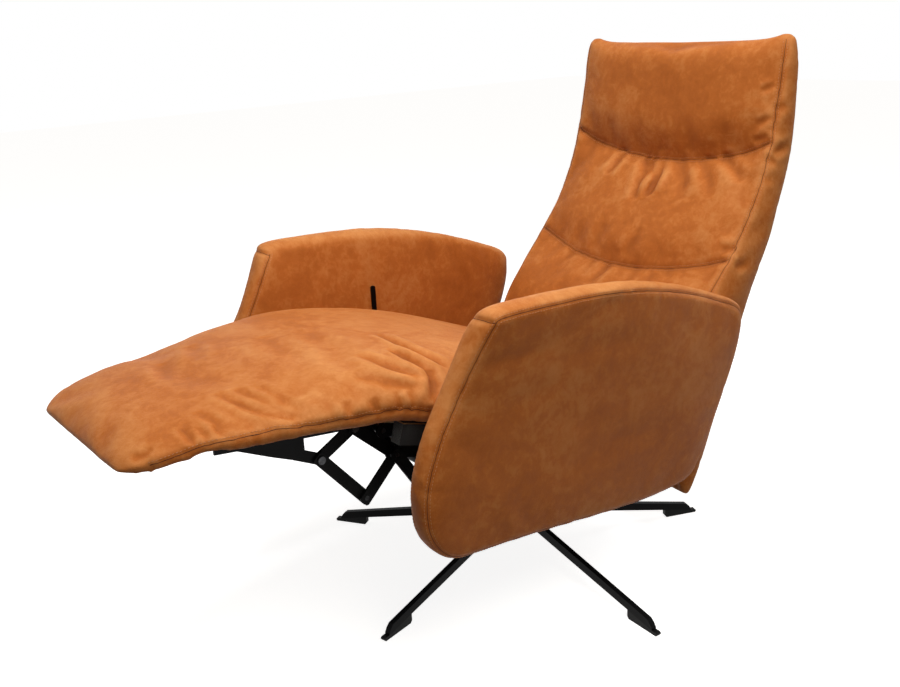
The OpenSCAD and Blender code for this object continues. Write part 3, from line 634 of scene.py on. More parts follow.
BACK_STATIONS = [
    (206, 140, 229, 131), (196, 215, 261, 181), (190, 330, 306, 268), (194, 400, 338, 346),
    (214, 455, 360, 405), (256, 510, 385, 462), (301, 560, 408, 515), (348, 612, 437, 571),
    (386, 660, 461, 618), (413, 706, 482, 677), (436, 755, 503, 732), (454, 810, 518, 792),
    (468, 870, 524, 856), (480, 930, 527, 921), (490, 990, 527, 986)]
BACK_HALF, BACK_SIDE, BACK_REAR = 280, 22, 14
STATION, DIP = 57, 46
SEAT_SLOPE, BOARD_SLOPE = 16.7, 5.64
SIDE_SEAM = BACK_HALF - BACK_SIDE
LOW_SEAM, LUMBAR_SEAM, HEAD_SEAM, TOP_SEAM = 2.1, 6.7, 10.95, 13.8
print("stations of the pad:", len(PAD_STATIONS), "and of the back:", len(BACK_STATIONS))


# %% Sections of the arms and the pad
def smooth_step(x, a, b):
    """Goes smoothly from 0 at a to 1 at b; a may also be the larger one."""
    t = np.clip((x - a) / (b - a), 0, 1)
    return t * t * (3 - 2 * t)


def arm_ring(side, across):
    """An arm's outline in the plane that lies at across, from -1 at its inner seam to 1."""
    ring = through(ARM_OUTLINE, 5, True)
    top = 652 - 0.27 * np.maximum(0, ring[:, 0] + 150)
    spread = (1 - np.clip((top - ring[:, 1]) / 125, 0, 1)) ** 1.5
    spread = spread * np.clip((150 - ring[:, 0]) / 250, 0, 1)
    run = np.roll(ring, -1, 0) - np.roll(ring, 1, 0)
    out = np.stack([-run[:, 1], run[:, 0]], 1) / np.linalg.norm(run, axis=1)[:, None]
    crown = ARM_CROWN * (1 - abs(across) ** 2.4) * np.clip(0.35 + 1.4 * out[:, 1], 0.35, 1)
    ring = ring + crown[:, None] * out
    inner, outer = ARM_INNER + 9 * spread, ARM_OUTER + 26 * spread
    x = inner + (outer - inner) * (1 + across) / 2
    return np.stack([side * x, ring[:, 0], ring[:, 1]], 1) * MM


def pad_low(y):
    """The pad's underside: along the seat rails behind the knee and on the board before it."""
    slope = np.where(y > FOLD_Y, SEAT_SLOPE, BOARD_SLOPE)
    tip = np.maximum(0, (-735 - y) / 100)
    under_board = smooth_step(-y, 465, 480) * smooth_step(-y, 750, 735)
    return FOLD_Z - (y - FOLD_Y) * np.tan(np.radians(slope)) - 30 * tip - under_board


def pad_ring(y, top, inset, m=96):
    """A section of the pad: flat below, round above, its lower edges hanging over the board."""
    angle = 2 * np.pi * np.arange(m) / m
    low, half = pad_low(y), PAD_HALF - inset
    high = top + 6 - 12 * smooth_step(-y, 790, 640)
    middle = low + 0.45 * (high - low)
    up = np.sin(angle) > 0
    x = half * np.where(up, rounded(np.cos(angle), 3.2), rounded(np.cos(angle), 9))
    z = np.where(up, middle + (high - middle) * rounded(np.sin(angle), 2.6),
                 middle + (middle - low) * rounded(np.sin(angle), 14))
    hang = 8 * smooth_step(-y, 560, 700) * smooth_step(-y, 840, 790)
    hang = hang * smooth_step(np.abs(x), half - 30, half - 6)
    z = z - np.where(up, 0, hang)
    return np.stack([x, np.full(m, y), z], 1) * MM


print("one arm ring has", len(arm_ring(1, 0)), "points, one pad ring", len(pad_ring(0, 500, 0)))


# %% Sections of the back
def back_at(t, x, d):
    """The place at station t of the back, x to the side and d in front of its rear face."""
    t, x, d = np.broadcast_arrays(np.asarray(t, float), x, d)
    s = along(BACK_STATIONS, t.ravel())
    front, rear = s[:, :2], s[:, 2:]
    ahead = (front - rear) / np.linalg.norm(front - rear, axis=1)[:, None]
    place = rear + d.ravel()[:, None] * ahead
    x = x.ravel()
    narrower = 1 - 0.012 * (np.maximum(0, t.ravel() - 10.5) / 3.5) ** 2
    lift = 15 + 8 * smooth_step(np.abs(x), 200, 245)
    lift = lift * smooth_step(t.ravel(), 12.5, 13.9)
    return np.stack([x * narrower, place[:, 0], place[:, 1] + lift], 1) * MM


def back_depth(t):
    s = along(BACK_STATIONS, np.atleast_1d(t))
    return np.linalg.norm(s[:, :2] - s[:, 2:], axis=1)


def seam_station(seam, x, dip=DIP):
    """A seam across the back hangs lower in its middle than at the side panels."""
    u = x / SIDE_SEAM
    return seam - dip / STATION * (1 - u * u)


def back_front(t, x):
    """How far the back's front stands before its rear face: three rolls with seams between."""
    u = np.abs(x) / SIDE_SEAM
    depth = back_depth(t) - 1 + 7 * (1 - u**2.5)
    for seam, drop in ((LUMBAR_SEAM, 26), (HEAD_SEAM, 30)):
        away = (t - seam_station(seam, x)) * STATION
        fall = np.exp(-np.where(away > 0, away / 11, -away / 32))
        depth = depth - drop * fall * (1 - u**8)
    return depth - 9 * np.exp(-np.abs(t - TOP_SEAM) * STATION / 16)


def back_ring(t, closed, flat=1.0):
    """A section of the back: the padded shell round the rear, and in front of it the rolls.
    At the very top the section is drawn together, to a share of its depth that flat gives."""
    d = float(back_depth(t)[0])
    inner = SIDE_SEAM
    round_top = max(0, (t - 13.5) / 0.5)
    tuck, thin = 7 * round_top**2, math.sqrt(1 - 0.75 * round_top**2)
    half = BACK_HALF - tuck
    side = through([(inner + 2, d - 1), (inner + 5, d - 0.5), (inner + 11 - tuck, 0.85 * d),
                    (half - 5, 0.66 * d), (half, 0.45 * d), (half - 1, 0.25 * d),
                    (half - 7, 0.08 * d), (half - 20, 0)], 4)
    rear = [(x, 0) for x in np.linspace(half - 32, 32 - half, 24)]
    other = side[::-1] * [-1, 1]
    if closed:
        x = np.linspace(-inner, inner, 60)[1:-1]
        inside = np.stack([x, back_front(t, x)], 1)
    else:
        inside = [(-inner, 0.6 * d), (-inner, BACK_REAR), (0, BACK_REAR), (inner, BACK_REAR),
                  (inner, 0.6 * d)]
    ring = np.concatenate([side, rear, other, inside])
    depth = 0.5 * d + (ring[:, 1] - 0.5 * d) * thin * flat
    return back_at(t, ring[:, 0], depth)


print("one ring of the back has", len(back_ring(8, True)), "points")

# %% [markdown]
# Leather that is stuffed swells between its seams and wrinkles beside them. Each cover is cut
# here a few per cent too large, held at its seams and its hidden underside, and blown up with a
# little pressure for twenty frames. What it gains is kept only up to a few millimetres, so that
# the cushions stay inside the sizes of the CAD.

# %% Seams as lines, and the cloth step
CLOTH_FRAMES = 20


def spaced(line, step=0.002):
    """The same line with points at even distances, and each point's distance from its start."""
    line = np.asarray(line, float)
    run = np.concatenate([[0], np.cumsum(np.linalg.norm(np.diff(line, axis=0), axis=1))])
    at = np.linspace(0, run[-1], max(2, int(run[-1] / step)))
    return np.stack([np.interp(at, run, line[:, k]) for k in range(3)], 1), at


def nearest(co, lines):
    """For each point: the distance to the nearest line, how far along it, and which it is."""
    parts = [spaced(line) for line in lines]
    points = np.concatenate([p for p, _ in parts])
    run = np.concatenate([a + 10.0 * i for i, (_, a) in enumerate(parts)])
    which = np.concatenate([np.full(len(a), i) for i, (_, a) in enumerate(parts)])
    tree = KDTree(len(points))
    for i, p in enumerate(points):
        tree.insert(p, i)
    tree.balance()
    found = [tree.find(c) for c in co]
    index = np.array([f[1] for f in found])
    return np.array([f[2] for f in found]), run[index], which[index]


def puff(piece, held, most, pressure=4.0, slack=0.012):
    """Blows the cover up between the places that are held, by at most so much at each vertex."""
    group = piece.vertex_groups.new(name="held")
    group.add([int(i) for i in np.nonzero(held)[0]], 1.0, "REPLACE")
    modifier = piece.modifiers.new("cloth", "CLOTH")
    cloth = modifier.settings
    cloth.quality = 4
    cloth.mass = 0.4
    cloth.tension_stiffness = 40
    cloth.compression_stiffness = 40
    cloth.shear_stiffness = 15
    cloth.bending_stiffness = 8
    cloth.use_pressure = True
    cloth.uniform_pressure_force = pressure
    cloth.shrink_min = -slack
    cloth.vertex_group_mass = group.name
    cloth.effector_weights.gravity = 0
    modifier.point_cache.frame_start = 1
    modifier.point_cache.frame_end = CLOTH_FRAMES
    for number in range(1, CLOTH_FRAMES + 1):
        scene.frame_set(number)
    depsgraph = bpy.context.evaluated_depsgraph_get()
    before = places(piece)
    move = rows_of(piece.evaluated_get(depsgraph).data.vertices, "co") - before
    length = np.linalg.norm(move, axis=1)
    kept = most * np.tanh(length / most) / np.maximum(length, 1e-9)
    piece.modifiers.clear()
    piece.vertex_groups.clear()
    scene.frame_set(1)
    put(piece, before + move * kept[:, None])
    put(piece, relax(piece, 5, 0.5))
    print(piece.name, "moved", np.round(np.percentile(length, [50, 95]) * 1000, 1), "mm")


def finer(piece):
    """One round of subdivision, which also rounds off the squares of the even mesh."""
    modifier = piece.modifiers.new("finer", "SUBSURF")
    modifier.levels = modifier.render_levels = 1
    bake_modifiers(piece)
    shade_smooth(piece)


# %% [markdown]
# An arm is sewn round its outer face, down the front of its inner face, and across its front
# between the two. The rest of its inner edge has no seam and is relaxed until it is round.

# %% The arms
ROLL_END, FRONT_END, CORNER = 94, 134, 132
LAYERS = (-1, -0.97, -0.9, -0.78, -0.6, -0.4, -0.2, 0, 0.2, 0.4, 0.6, 0.78, 0.9, 0.97, 1)
arm_seams, arm_covers = {}, {}
for side, name in ((1, "left_arm_cover"), (-1, "right_arm_cover")):
    rings = [arm_ring(side, across) for across in LAYERS]
    cover = new_piece(name, [lofted(rings)], LEATHER)
    even_mesh(cover, 0.0065)
    put(cover, relax(cover, 2))
    outer, inner = (np.concatenate([r, r[:1]]) for r in (rings[-1], rings[0]))
    front, rolled = inner[ROLL_END:FRONT_END], inner[:ROLL_END + 1]
    corner = np.array([ring[CORNER] for ring in rings])
    arm_seams[name] = [outer, front, corner]
    roll_off, _, _ = nearest(places(cover), [rolled])
    put(cover, relax(cover, 40, 0.5, np.exp(-(roll_off / 0.022) ** 2)))
    distance, _, _ = nearest(places(cover), [outer, inner])
    band = np.abs(normals(cover)[:, 0]) < 0.6
    puff(cover, distance < 0.009, np.where(band, 0.004, 0.007), 2.5, 0.004)
    finer(cover)
    arm_covers[name] = cover
    print(name, len(cover.data.vertices), "vertices")

# %% [markdown]
# The chaise pad is one long cushion that folds at the knee. A stretched box would stay stiff
# there, so it is lofted from cross sections: flat below for the rails and the board, round on
# top. The band seam runs along both sides of the leg part.

# %% The chaise pad
def pad_seam(side):
    """The band seam on one side of the leg part, a thumb's width above its lower edge."""
    line = []
    for y, top, inset in pad_stations:
        low = float(pad_low(np.array(y)))
        rise = min(24 + 2 * math.sin(y / 41), 0.5 * (top - low))
        if -815 < y < -330:
            line.append((side * (PAD_HALF - inset + 2), y, low + rise))
    return np.array(line) * MM


pad_stations = through(PAD_STATIONS, 4)
chaise_pad = new_piece("chaise_pad", [lofted([pad_ring(*s) for s in pad_stations])], LEATHER)
even_mesh(chaise_pad, 0.0085)
put(chaise_pad, relax(chaise_pad, 3))
at_tip = smooth_step(-places(chaise_pad)[:, 1], 0.812, 0.842)
put(chaise_pad, relax(chaise_pad, 14, 0.5, at_tip))
PAD_SEAMS = [pad_seam(1), pad_seam(-1)]
co = places(chaise_pad)
distance, _, _ = nearest(co, PAD_SEAMS)
under = co[:, 2] < pad_low(co[:, 1] / MM) * MM + 0.008
facing = np.clip(normals(chaise_pad)[:, 2], 0, 1)
puff(chaise_pad, (distance < 0.008) | under, 0.005 + 0.014 * facing)
finer(chaise_pad)
print("chaise_pad", len(chaise_pad.data.vertices), "vertices")

# %% [markdown]
# The back is a padded shell with three rolls in front. The rolls could be three pieces, but one
# cover goes over all of them, so they are one loft, and the seams between them are sunk into it.

# %% The back
def back_forms():
    top = len(BACK_STATIONS) - 1
    filled = list(np.arange(LOW_SEAM, 13.5, 0.1)) + list(np.linspace(13.5, top, 14))
    hollow = list(np.arange(0, 3.01, 0.125))
    crown = [back_ring(top + 0.02 * i, True, flat) for i, flat in enumerate((0.8, 0.5, 0.2, 0.02))]
    return [lofted([back_ring(t, True) for t in filled] + crown),
            lofted([back_ring(t, False) for t in hollow])]


def back_seams():
    """The two side seams, the two that cross the front and the ones round the rear panel."""
    t = np.linspace(1.2, 13.75, 120)
    lines = [back_at(t, side * (SIDE_SEAM + 5), back_depth(t) - 1) for side in (1, -1)]
    x = np.linspace(-SIDE_SEAM - 3, SIDE_SEAM + 3, 90)
    for seam in (LUMBAR_SEAM, HEAD_SEAM):
        s = seam_station(seam, x)
        lines.append(back_at(s, x, back_front(s, x)))
    t = np.linspace(0.1, 13.8, 120)
    rear = [back_at(t, side * (BACK_HALF - 9), 0.06 * back_depth(t)) for side in (1, -1)]
    return lines, rear


back_cover = new_piece("back_cover", back_forms(), LEATHER)
even_mesh(back_cover, 0.0085)
put(back_cover, relax(back_cover, 2))
at_top = smooth_step(places(back_cover)[:, 2], 0.955, 0.985)
put(back_cover, relax(back_cover, 10, 0.5, at_top))
BACK_SEAMS, REAR_SEAMS = back_seams()
distance, _, _ = nearest(places(back_cover), BACK_SEAMS + REAR_SEAMS)
faces_front = normals(back_cover)[:, 1] < -0.35
puff(back_cover, distance < 0.010, np.where(faces_front, 0.020, 0.005))
finer(back_cover)
print("back_cover", len(back_cover.data.vertices), "vertices")

# %% [markdown]
# The sewing comes last, on the finer mesh. Every seam pulls a narrow groove into the cover and
# gathers the leather beside it into small puckers. The long creases are placed where the photo
# shows them: each is given by its depth and width in millimetres and by a few points of the
# picture, and the camera's own ray finds each spot on the cover.

# %% Lines on a cover
def seen_at(tree, px, py):
    """The place on a cover that the picture shows at a point, counted in its pixels."""
    turn = scene.camera.matrix_world.to_3x3()
    ray = turn @ Vector((px - PICTURE_W / 2, PICTURE_H / 2 - py, -FOCAL_PX)).normalized()
    place = tree.ray_cast(CAMERA_AT, ray)[0]
    return None if place is None else tuple(place)


def surface(piece):
    depsgraph = bpy.context.evaluated_depsgraph_get()
    return BVHTree.FromObject(piece, depsgraph)


def unit(vectors):
    return vectors / np.maximum(np.linalg.norm(vectors, axis=1), 1e-9)[:, None]


def on_cover(tree, line, sink=0.0):
    """A line laid on the cover, sunk a little under its surface, and the surface's normals."""
    places_on, ups = [], []
    for point in line:
        place, up, _, _ = tree.find_nearest(Vector(point))
        places_on.append(place - sink * up)
        ups.append(up)
    return np.array(places_on), np.array(ups)


# %% Grooves and puckers
def ripple(run, seed, waves=(0.024, 0.037, 0.059)):
    """Uneven waves along a seam, from 0 to about 1, that fade out and come back."""
    rng = np.random.default_rng(seed)

    def mean_of(lengths):
        parts = [np.sin(2 * np.pi * run / length + rng.uniform(0, 6.28)) for length in lengths]
        return sum(parts) / len(parts)

    total = mean_of(waves)
    gate = mean_of((0.13, 0.21))
    return np.clip(total, 0, 1) ** 1.3 * np.clip(0.55 + 0.7 * gate, 0.08, 1)


def sew(piece, lines, depth, width, gather, reach, seed, hanging=False):
    """Pulls the seams in, puckers the leather beside them and records how near a seam is."""
    co, n = places(piece), normals(piece)
    distance, run, which = nearest(co, lines)
    groove = depth * np.exp(-(distance / width) ** 2)
    roll = 0.12 * depth * np.exp(-((distance - 2.4 * width) / width) ** 2)
    puckers = gather * ripple(run, seed) * np.exp(-distance / reach)
    puckers = puckers * smooth_step(distance, 0.001, 0.008)
    if hanging:
        level = np.array([np.interp(co[:, 0], line[:, 0], line[:, 2]) for line in lines])
        under = level[which, np.arange(len(co))] - co[:, 2]
        puckers = puckers * (0.12 + 0.88 * smooth_step(under, -0.002, 0.005))
    put(piece, co + (roll - groove - puckers)[:, None] * n)
    # how near a seam is; the leather's finish paints shade along the seam's groove from it
    return 0.85 * np.exp(-(distance / 0.0034) ** 2) + 0.04 * np.exp(-distance / 0.025)


# %% Creases, and what the leather's finish reads
def crease(piece, tree, depth, width, picture_points, lift=0.45):
    """A crease through points of the picture: a soft valley with a low crest on either side."""
    hits = [seen_at(tree, *p) for p in picture_points]
    hits = [h for h in hits if h is not None]
    if len(hits) < 2:
        return
    line, run = spaced(through(hits, 8))
    co, n = places(piece), normals(piece)
    low, high = line.min(0) - 4 * width, line.max(0) + 4 * width
    close = np.nonzero(np.all((co > low) & (co < high), axis=1))[0]
    away = np.linalg.norm(co[close, None, :] - line[None], axis=2)
    index = away.argmin(1)
    away = away.min(1)
    share = run[index] / run[-1]
    fade = np.clip(4 * share * (1 - share), 0, 1) ** 0.6
    move = -depth * np.exp(-(away / width) ** 2)
    move = move + lift * depth * np.exp(-((away - 2.1 * width) / width) ** 2)
    co[close] += (move * fade)[:, None] * n[close]
    put(piece, co)


def wrinkle(piece, creases):
    tree = surface(piece)
    for depth, width, picture_points in creases:
        crease(piece, tree, depth * MM, width * MM, picture_points)


def mark(piece, seam, rubbed=0.0):
    """Stores what the leather's finish reads: seams, and what stands out or lies deep.
    What faces up is made paler by rubbed, as painted top light and as wear from hands and legs."""
    co, n = places(piece), normals(piece)
    smooth = relax(piece, 24, 0.6)
    fold = np.sum((co - smooth) * n, axis=1) / 0.003
    # painted top light: faces that point up are pushed paler, in part as wear, in part as light
    # falling on top
    fold = np.clip(fold + rubbed * smooth_step(n[:, 2], 0.3, 0.95), -1, 1)
    for name, values in (("seam", np.clip(seam, 0, 1)), ("fold", fold)):
        layer = piece.data.attributes.new(name, "FLOAT", "POINT")
        layer.data.foreach_set("value", values.astype(np.float32))


# %% Where the creases are
BACK_CREASES = [
    (7.5, 11, [(645, 158), (643, 175), (634, 200)]),
    (9.5, 12, [(652, 160), (652, 178), (650, 196)]),
    (7, 10, [(663, 159), (658, 176), (642, 198)]),
    (6, 10, [(623, 153), (615, 163), (606, 174)]),
    (4, 12, [(680, 160), (684, 178), (680, 200)]),
    (4, 12, [(700, 160), (708, 176), (712, 196)]),
    (5, 10, [(722, 157), (734, 168), (742, 182)]),
    (4.5, 9, [(721, 252), (736, 248)]),
    (3.5, 14, [(640, 226), (634, 240), (624, 256)]),
    (2.5, 15, [(606, 222), (598, 238), (590, 250)]),
    (5, 12, [(586, 284), (596, 275), (610, 263)]),
    (3.5, 13, [(556, 266), (564, 258), (576, 249)]),
    (4, 13, [(636, 294), (644, 284), (656, 272)]),
    (3.4, 8, [(772, 154), (779, 150), (789, 145)]),
    (2.6, 8, [(767, 163), (776, 160)]),
    (2.2, 8, [(764, 181), (772, 178)]),
    (2.4, 8, [(735, 268), (747, 263)]),
    (2, 8, [(776, 112), (786, 104)]),
    (2.6, 6, [(760, 92), (768, 88), (775, 84)]),
    (2.6, 6, [(756, 124), (764, 121), (771, 117)]),
    (2.6, 6, [(752, 141), (761, 139), (768, 135)])]
PAD_CREASES = [
    (8.2, 8, [(378, 334), (412, 350), (449, 367)]),
    (7.6, 7.5, [(388, 348), (412, 361), (437, 375)]),
    (5.6, 8.5, [(356, 354), (392, 367), (428, 379)]),
    (3.5, 9, [(352, 374), (388, 383), (424, 388)]),
    (7, 8.5, [(428, 368), (434, 384), (432, 402)]),
    (3.5, 6.5, [(396, 390), (399, 399), (401, 410)]),
    (3.5, 6.5, [(409, 390), (412, 399), (414, 409)]),
    (3, 7, [(346, 400), (349, 408), (351, 416)]),
    (3, 7, [(372, 398), (375, 405), (377, 413)]),
    (5.2, 7.5, [(216, 393), (258, 410), (302, 425)]),
    (5, 7.5, [(232, 389), (268, 404), (304, 421)]),
    (3.4, 7.5, [(250, 386), (280, 400), (310, 416)]),
    (3.4, 7.5, [(196, 411), (214, 421), (230, 431)]),
    (3.5, 6, [(182, 428), (189, 436), (195, 445)]),
    (3.5, 6, [(197, 426), (203, 433), (208, 440)]),
    (3.5, 6.5, [(212, 424), (218, 431), (223, 438)]),
    (3.5, 7, [(130, 459), (142, 455), (153, 447)]),
    (4.5, 20, [(300, 330), (330, 350), (352, 370)]),
    (4, 20, [(262, 336), (290, 352), (312, 366)]),
    (4, 22, [(140, 358), (190, 376), (236, 380)]),
    (3.5, 12, [(147, 350), (160, 362), (168, 380)]),
    (3.5, 12, [(176, 334), (190, 346), (200, 360)])]
ARM_CREASES = [
    (1.2, 16, [(560, 360), (600, 345), (650, 340)]),
    (1.1, 18, [(500, 420), (530, 396), (560, 390)]),
    (1, 20, [(560, 470), (620, 440), (680, 420)])]
print("creases:", len(BACK_CREASES) + len(PAD_CREASES) + len(ARM_CREASES))

# %% Sew and wrinkle the covers
for number, (name, cover) in enumerate(arm_covers.items()):
    near = sew(cover, arm_seams[name], 0.0020, 0.0045, 0.0012, 0.020, 20 + number)
    if name == "left_arm_cover":
        wrinkle(cover, ARM_CREASES)
    # the arms' tops get a strong painted top light, which also stands for wear from hands
    mark(cover, 0.5 * near, 0.9)

near = sew(chaise_pad, PAD_SEAMS, 0.0032, 0.005, 0.0036, 0.024, 31)
wrinkle(chaise_pad, PAD_CREASES)
# the pad's top gets a weaker painted top light
mark(chaise_pad, near, 0.35)

near_sides = sew(back_cover, BACK_SEAMS[:2] + REAR_SEAMS, 0.0032, 0.0050, 0.0016, 0.016, 41)
near = sew(back_cover, BACK_SEAMS[2:], 0.0052, 0.0070, 0.0034, 0.030, 42, hanging=True)
wrinkle(back_cover, BACK_CREASES)
mark(back_cover, np.maximum(near, near_sides))
for cover in (*arm_covers.values(), chaise_pad, back_cover):
    print(cover.name, "is sewn and wrinkled")

# %% [markdown]
# The stitches are instances: a curve is laid beside each seam, points stand on it at even
# steps, and a small capsule of thread is put on each point, turned along the seam and upright
# on the leather. The seam itself is a thin dark line of raw edge in its groove.

# %% Node tree for stitches
STITCH_LONG, STITCH_WIDE, STITCH_HIGH, STITCH_DIP = 0.0036, 0.0010, 0.0009, 0.0006
STITCH_STEP = 0.0056


def round_about(r_across, r_up):
    """Six places on an oval round a thread or an edge, each as its two shares."""
    return [(r_across * math.cos(a), r_up * math.sin(a)) for a in np.arange(6) * math.pi / 3]


def stitch_shape():
    """One stitch: a short thread that dips into the leather at both ends."""
    stations = ((-0.5, -0.5, 0.25), (-0.36, 0.1, 0.42), (0, 0.25, 0.5), (0.36, 0.1, 0.42),
                (0.5, -0.5, 0.25))
    rings = [[(x * STITCH_LONG, across, drop * STITCH_DIP + up)
              for across, up in round_about(r * STITCH_WIDE, r * STITCH_HIGH)]
             for x, drop, r in stations]
    piece = new_piece("stitch_pattern", [lofted(rings)], THREAD)
    piece.hide_render = True
    piece.hide_viewport = True
    shade_smooth(piece)
    return piece


def build_stitch_tree():
    """Stands a stitch at every step of the curves, turned along its curve and upright."""
    tree, given, result = new_group(
        "stitches_along",
        [("Geometry", "NodeSocketGeometry", None), ("Step", "NodeSocketFloat", None),
         ("Stitch", "NodeSocketObject", None), ("Thread", "NodeSocketMaterial", None)],
        [("Geometry", "NodeSocketGeometry")], "GeometryNodeTree")
    given = given.outputs
    curve = add_node(tree, "GeometryNodeMeshToCurve", given["Geometry"]).outputs[0]
    points = add_node(tree, "GeometryNodeCurveToPoints", Curve=curve, Length=given["Step"],
                      settings={"mode": "LENGTH"}).outputs
    up = add_node(tree, "GeometryNodeInputNamedAttribute", Name="up",
                  settings={"data_type": "FLOAT_VECTOR"})
    turn = add_node(tree, "FunctionNodeAlignRotationToVector", Vector=points["Tangent"],
                    settings={"axis": "X"})
    turn = add_node(tree, "FunctionNodeAlignRotationToVector", Rotation=turn.outputs["Rotation"],
                    Vector=up.outputs["Attribute"], settings={"axis": "Z", "pivot_axis": "X"})
    shape = add_node(tree, "GeometryNodeObjectInfo", Object=given["Stitch"])
    copies = add_node(tree, "GeometryNodeInstanceOnPoints", Points=points["Points"],
                      Instance=shape.outputs["Geometry"], Rotation=turn.outputs["Rotation"])
    real = add_node(tree, "GeometryNodeRealizeInstances", copies.outputs[0])
    paint = add_node(tree, "GeometryNodeSetMaterial", Geometry=real.outputs[0],
                     Material=given["Thread"])
    feed(tree, result.inputs[0], paint.outputs[0])
    return tree


STITCH = stitch_shape()
STITCH_TREE = build_stitch_tree()
STITCH_INPUTS = {socket.name: socket.identifier for socket in STITCH_TREE.interface.items_tree
                 if socket.in_out == "INPUT"}
print("stitch tree has", len(STITCH_TREE.nodes), "nodes and the inputs", list(STITCH_INPUTS))

# %% Seam edges and stitches on every cover
def line_mesh(name, lines, ups):
    """The lines as bare edges, with the leather's normal stored at every point."""
    mesh = bpy.data.meshes.new(name)
    points = np.concatenate(lines)
    edges, start = [], 0
    for line in lines:
        edges += [(start + i, start + i + 1) for i in range(len(line) - 1)]
        start += len(line)
    mesh.from_pydata([tuple(p) for p in points], edges, [])
    layer = mesh.attributes.new("up", "FLOAT_VECTOR", "POINT")
    layer.data.foreach_set("vector", np.concatenate(ups).astype(np.float32).ravel())
    piece = bpy.data.objects.new(name, mesh)
    scene.collection.objects.link(piece)
    return piece


def stitches(name, cover, seams, beside):
    """Stitches on one or both sides of each seam; beside lists the distances in metres."""
    tree = surface(cover)
    lines, ups = [], []
    for seam in seams:
        line, up = on_cover(tree, spaced(seam, 0.004)[0])
        sideways = unit(np.cross(np.gradient(line, axis=0), up))
        for distance in beside:
            moved, up_there = on_cover(tree, line + distance * sideways, -0.0001)
            lines.append(moved)
            ups.append(up_there)
    piece = line_mesh(name, lines, ups)
    modifier = piece.modifiers.new("stitches", "NODES")
    modifier.node_group = STITCH_TREE
    modifier[STITCH_INPUTS["Step"]] = STITCH_STEP
    modifier[STITCH_INPUTS["Stitch"]] = STITCH
    modifier[STITCH_INPUTS["Thread"]] = THREAD
    bake_modifiers(piece)
    return piece


def seam_edges(name, cover, seams, r=0.0008):
    """A dark raw edge in the groove of each seam."""
    tree = surface(cover)
    forms = []
    for seam in seams:
        line, up = on_cover(tree, spaced(seam, 0.005)[0], 0.0005)
        side = unit(np.cross(np.gradient(line, axis=0), up))
        forms.append(lofted([[p + across * s + high * u for across, high in round_about(r, r)]
                             for p, s, u in zip(line, side, up)]))
    piece = new_piece(name, forms, SEAM)
    shade_smooth(piece)
    return piece


pieces_by_body = {"turret": [], "back": [], "pad": []}
for name, cover in arm_covers.items():
    side = name.replace("_cover", "")
    pieces_by_body["turret"] += [
        seam_edges(side + "_seams", cover, arm_seams[name]),
        stitches(side + "_stitches", cover, arm_seams[name][:2], (0.0042, -0.0042))]
pieces_by_body["back"] += [
    seam_edges("back_seams", back_cover, BACK_SEAMS + REAR_SEAMS),
    stitches("back_stitches", back_cover, BACK_SEAMS, (0.0045, -0.0045)),
    stitches("back_rear_stitches", back_cover, REAR_SEAMS, (0.0045,))]
pieces_by_body["pad"] += [
    seam_edges("pad_seams", chaise_pad, PAD_SEAMS),
    stitches("pad_stitches", chaise_pad, PAD_SEAMS, (0.0045,))]
bpy.data.objects.remove(STITCH)
for body, group in pieces_by_body.items():
    print(body, [(p.name, len(p.data.vertices)) for p in group])

# %% [markdown]
# Black lining hides the raw wood that would show from the front: one piece is stretched under
# the footrest board, a strip is folded round the front seat rail, and a sleeve covers the front
# end of each side rail.

# %% Linings
LINING_THICK, SLEEVE_THICK = 0.0006, 0.0005
SLEEVE_START, SLEEVE_END, SLEEVE_ROWS = 10.9, 150, 15


def thicken(piece, thickness, offset=-1):
    modifier = piece.modifiers.new("thick", "SOLIDIFY")
    modifier.thickness = thickness
    modifier.offset = offset
    bake_modifiers(piece)


def cloth_strip(name, rows, half, columns=25):
    """A thin cloth through rows of (y, z) places, half its width to either side."""
    points = [(x * MM, y * MM, (z + 0.4 * math.sin(x / 23 + i)) * MM)
              for i, (y, z) in enumerate(rows) for x in np.linspace(-half, half, columns)]
    faces = [(k, k + 1, k + columns + 1, k + columns) for i in range(len(rows) - 1)
             for k in range(i * columns, (i + 1) * columns - 1)]
    piece = new_piece(name, [(points, faces)], LINING)
    thicken(piece, LINING_THICK)
    length = sum(math.dist(a, b) for a, b in zip(rows, rows[1:]))
    return piece, (2 * half * MM, length * MM)


def lining_sheet():
    """The lining on the underside of the board, between the two steel brackets."""
    slope = math.tan(math.radians(BOARD_SLOPE))
    rows = [(y, FOLD_Z - (y - FOLD_Y) * slope - 2.6) for y in np.linspace(-470, -716, 18)]
    return cloth_strip("footrest_lining", rows, 176)


def on_rail(y, z):
    """A place on the seat rails, y along their slope from the fold and z square to it."""
    slope = math.radians(SEAT_SLOPE)
    return (FOLD_Y + y * math.cos(slope) + z * math.sin(slope),
            FOLD_Z - y * math.sin(slope) + z * math.cos(slope))


def rail_lining():
    """A strip round the front and the underside of the front seat rail."""
    corners = [(19, -3), (19, -14), (19, -34), (30, -34.5), (44, -34.5)]
    return cloth_strip("rail_lining", [on_rail(y, z) for y, z in corners], 190)


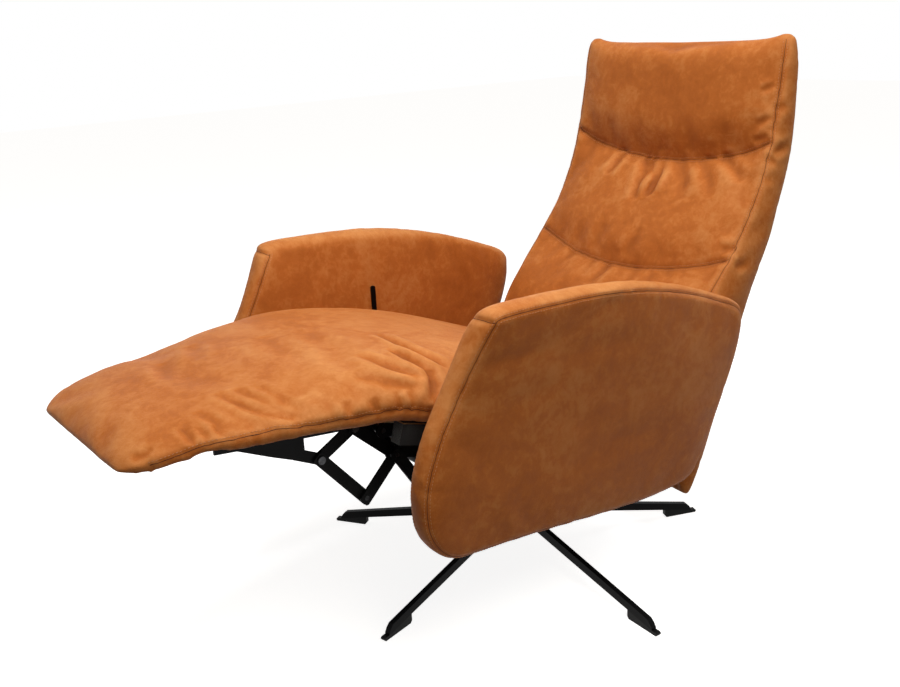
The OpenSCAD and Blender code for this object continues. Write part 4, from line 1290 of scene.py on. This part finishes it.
def rail_sleeve(name, side):
    """The lining round the front end of a side rail: outer face, underside and end."""
    outer, inner, low, high = 251.2, 227.4, -37.2, -3.4

    def place(x, y, z):
        return (side * x * MM, *(c * MM for c in on_rail(y, z)))

    points, faces = [], []
    for y in np.linspace(SLEEVE_START, SLEEVE_END, SLEEVE_ROWS):
        points += [place(x, y + (0.3 if x < outer else 0) * math.sin(y / 7), z)
                   for x, z in ((outer, high), (outer, low), (inner, low))]
    for k in range(0, 3 * (SLEEVE_ROWS - 1), 3):
        faces += [(k, k + 1, k + 4, k + 3), (k + 1, k + 2, k + 5, k + 4)]
    points.append(place(inner, SLEEVE_START, high))
    faces.append((0, len(points) - 1, 2, 1))
    piece = new_piece(name, [(points, faces)], LINING)
    thicken(piece, SLEEVE_THICK, 0)
    return piece, ((outer - inner + high - low) * MM, 0.153)


linings = [(*lining_sheet(), "footrest", "footrest_board"),
           (*rail_lining(), "turret", "front_seat_rail"),
           (*rail_sleeve("left_rail_lining", 1), "turret", "left_seat_rail"),
           (*rail_sleeve("right_rail_lining", -1), "turret", "right_seat_rail")]
print("linings", [(piece.name, np.round(size, 3).tolist()) for piece, size, _, _ in linings])

# %% [markdown]
# Last, each piece is tied to the CAD body that it moves with, all but the pad. It crosses the
# knee, so it and its seams and stitches stay where they are, tied to no body.

# %% Tie the pieces to the bodies
for name, cover in arm_covers.items():
    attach(cover, "turret")
    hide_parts(name.replace("_cover", ""))
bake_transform(chaise_pad)
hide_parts("seat_cushion", "leg_cushion")
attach(back_cover, "back")
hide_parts("back_shell", "head_cushion", "middle_cushion", "low_cushion")
for cover, fill in ((arm_covers["left_arm_cover"], 0.8), (arm_covers["right_arm_cover"], 0.8),
                    (chaise_pad, 0.7), (back_cover, 0.75)):
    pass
for piece in pieces_by_body["turret"]:
    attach(piece, "turret")
for piece in pieces_by_body["back"]:
    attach(piece, "back")
for piece in pieces_by_body["pad"]:
    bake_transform(piece)
for piece, size, body, board in linings:
    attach(piece, body)
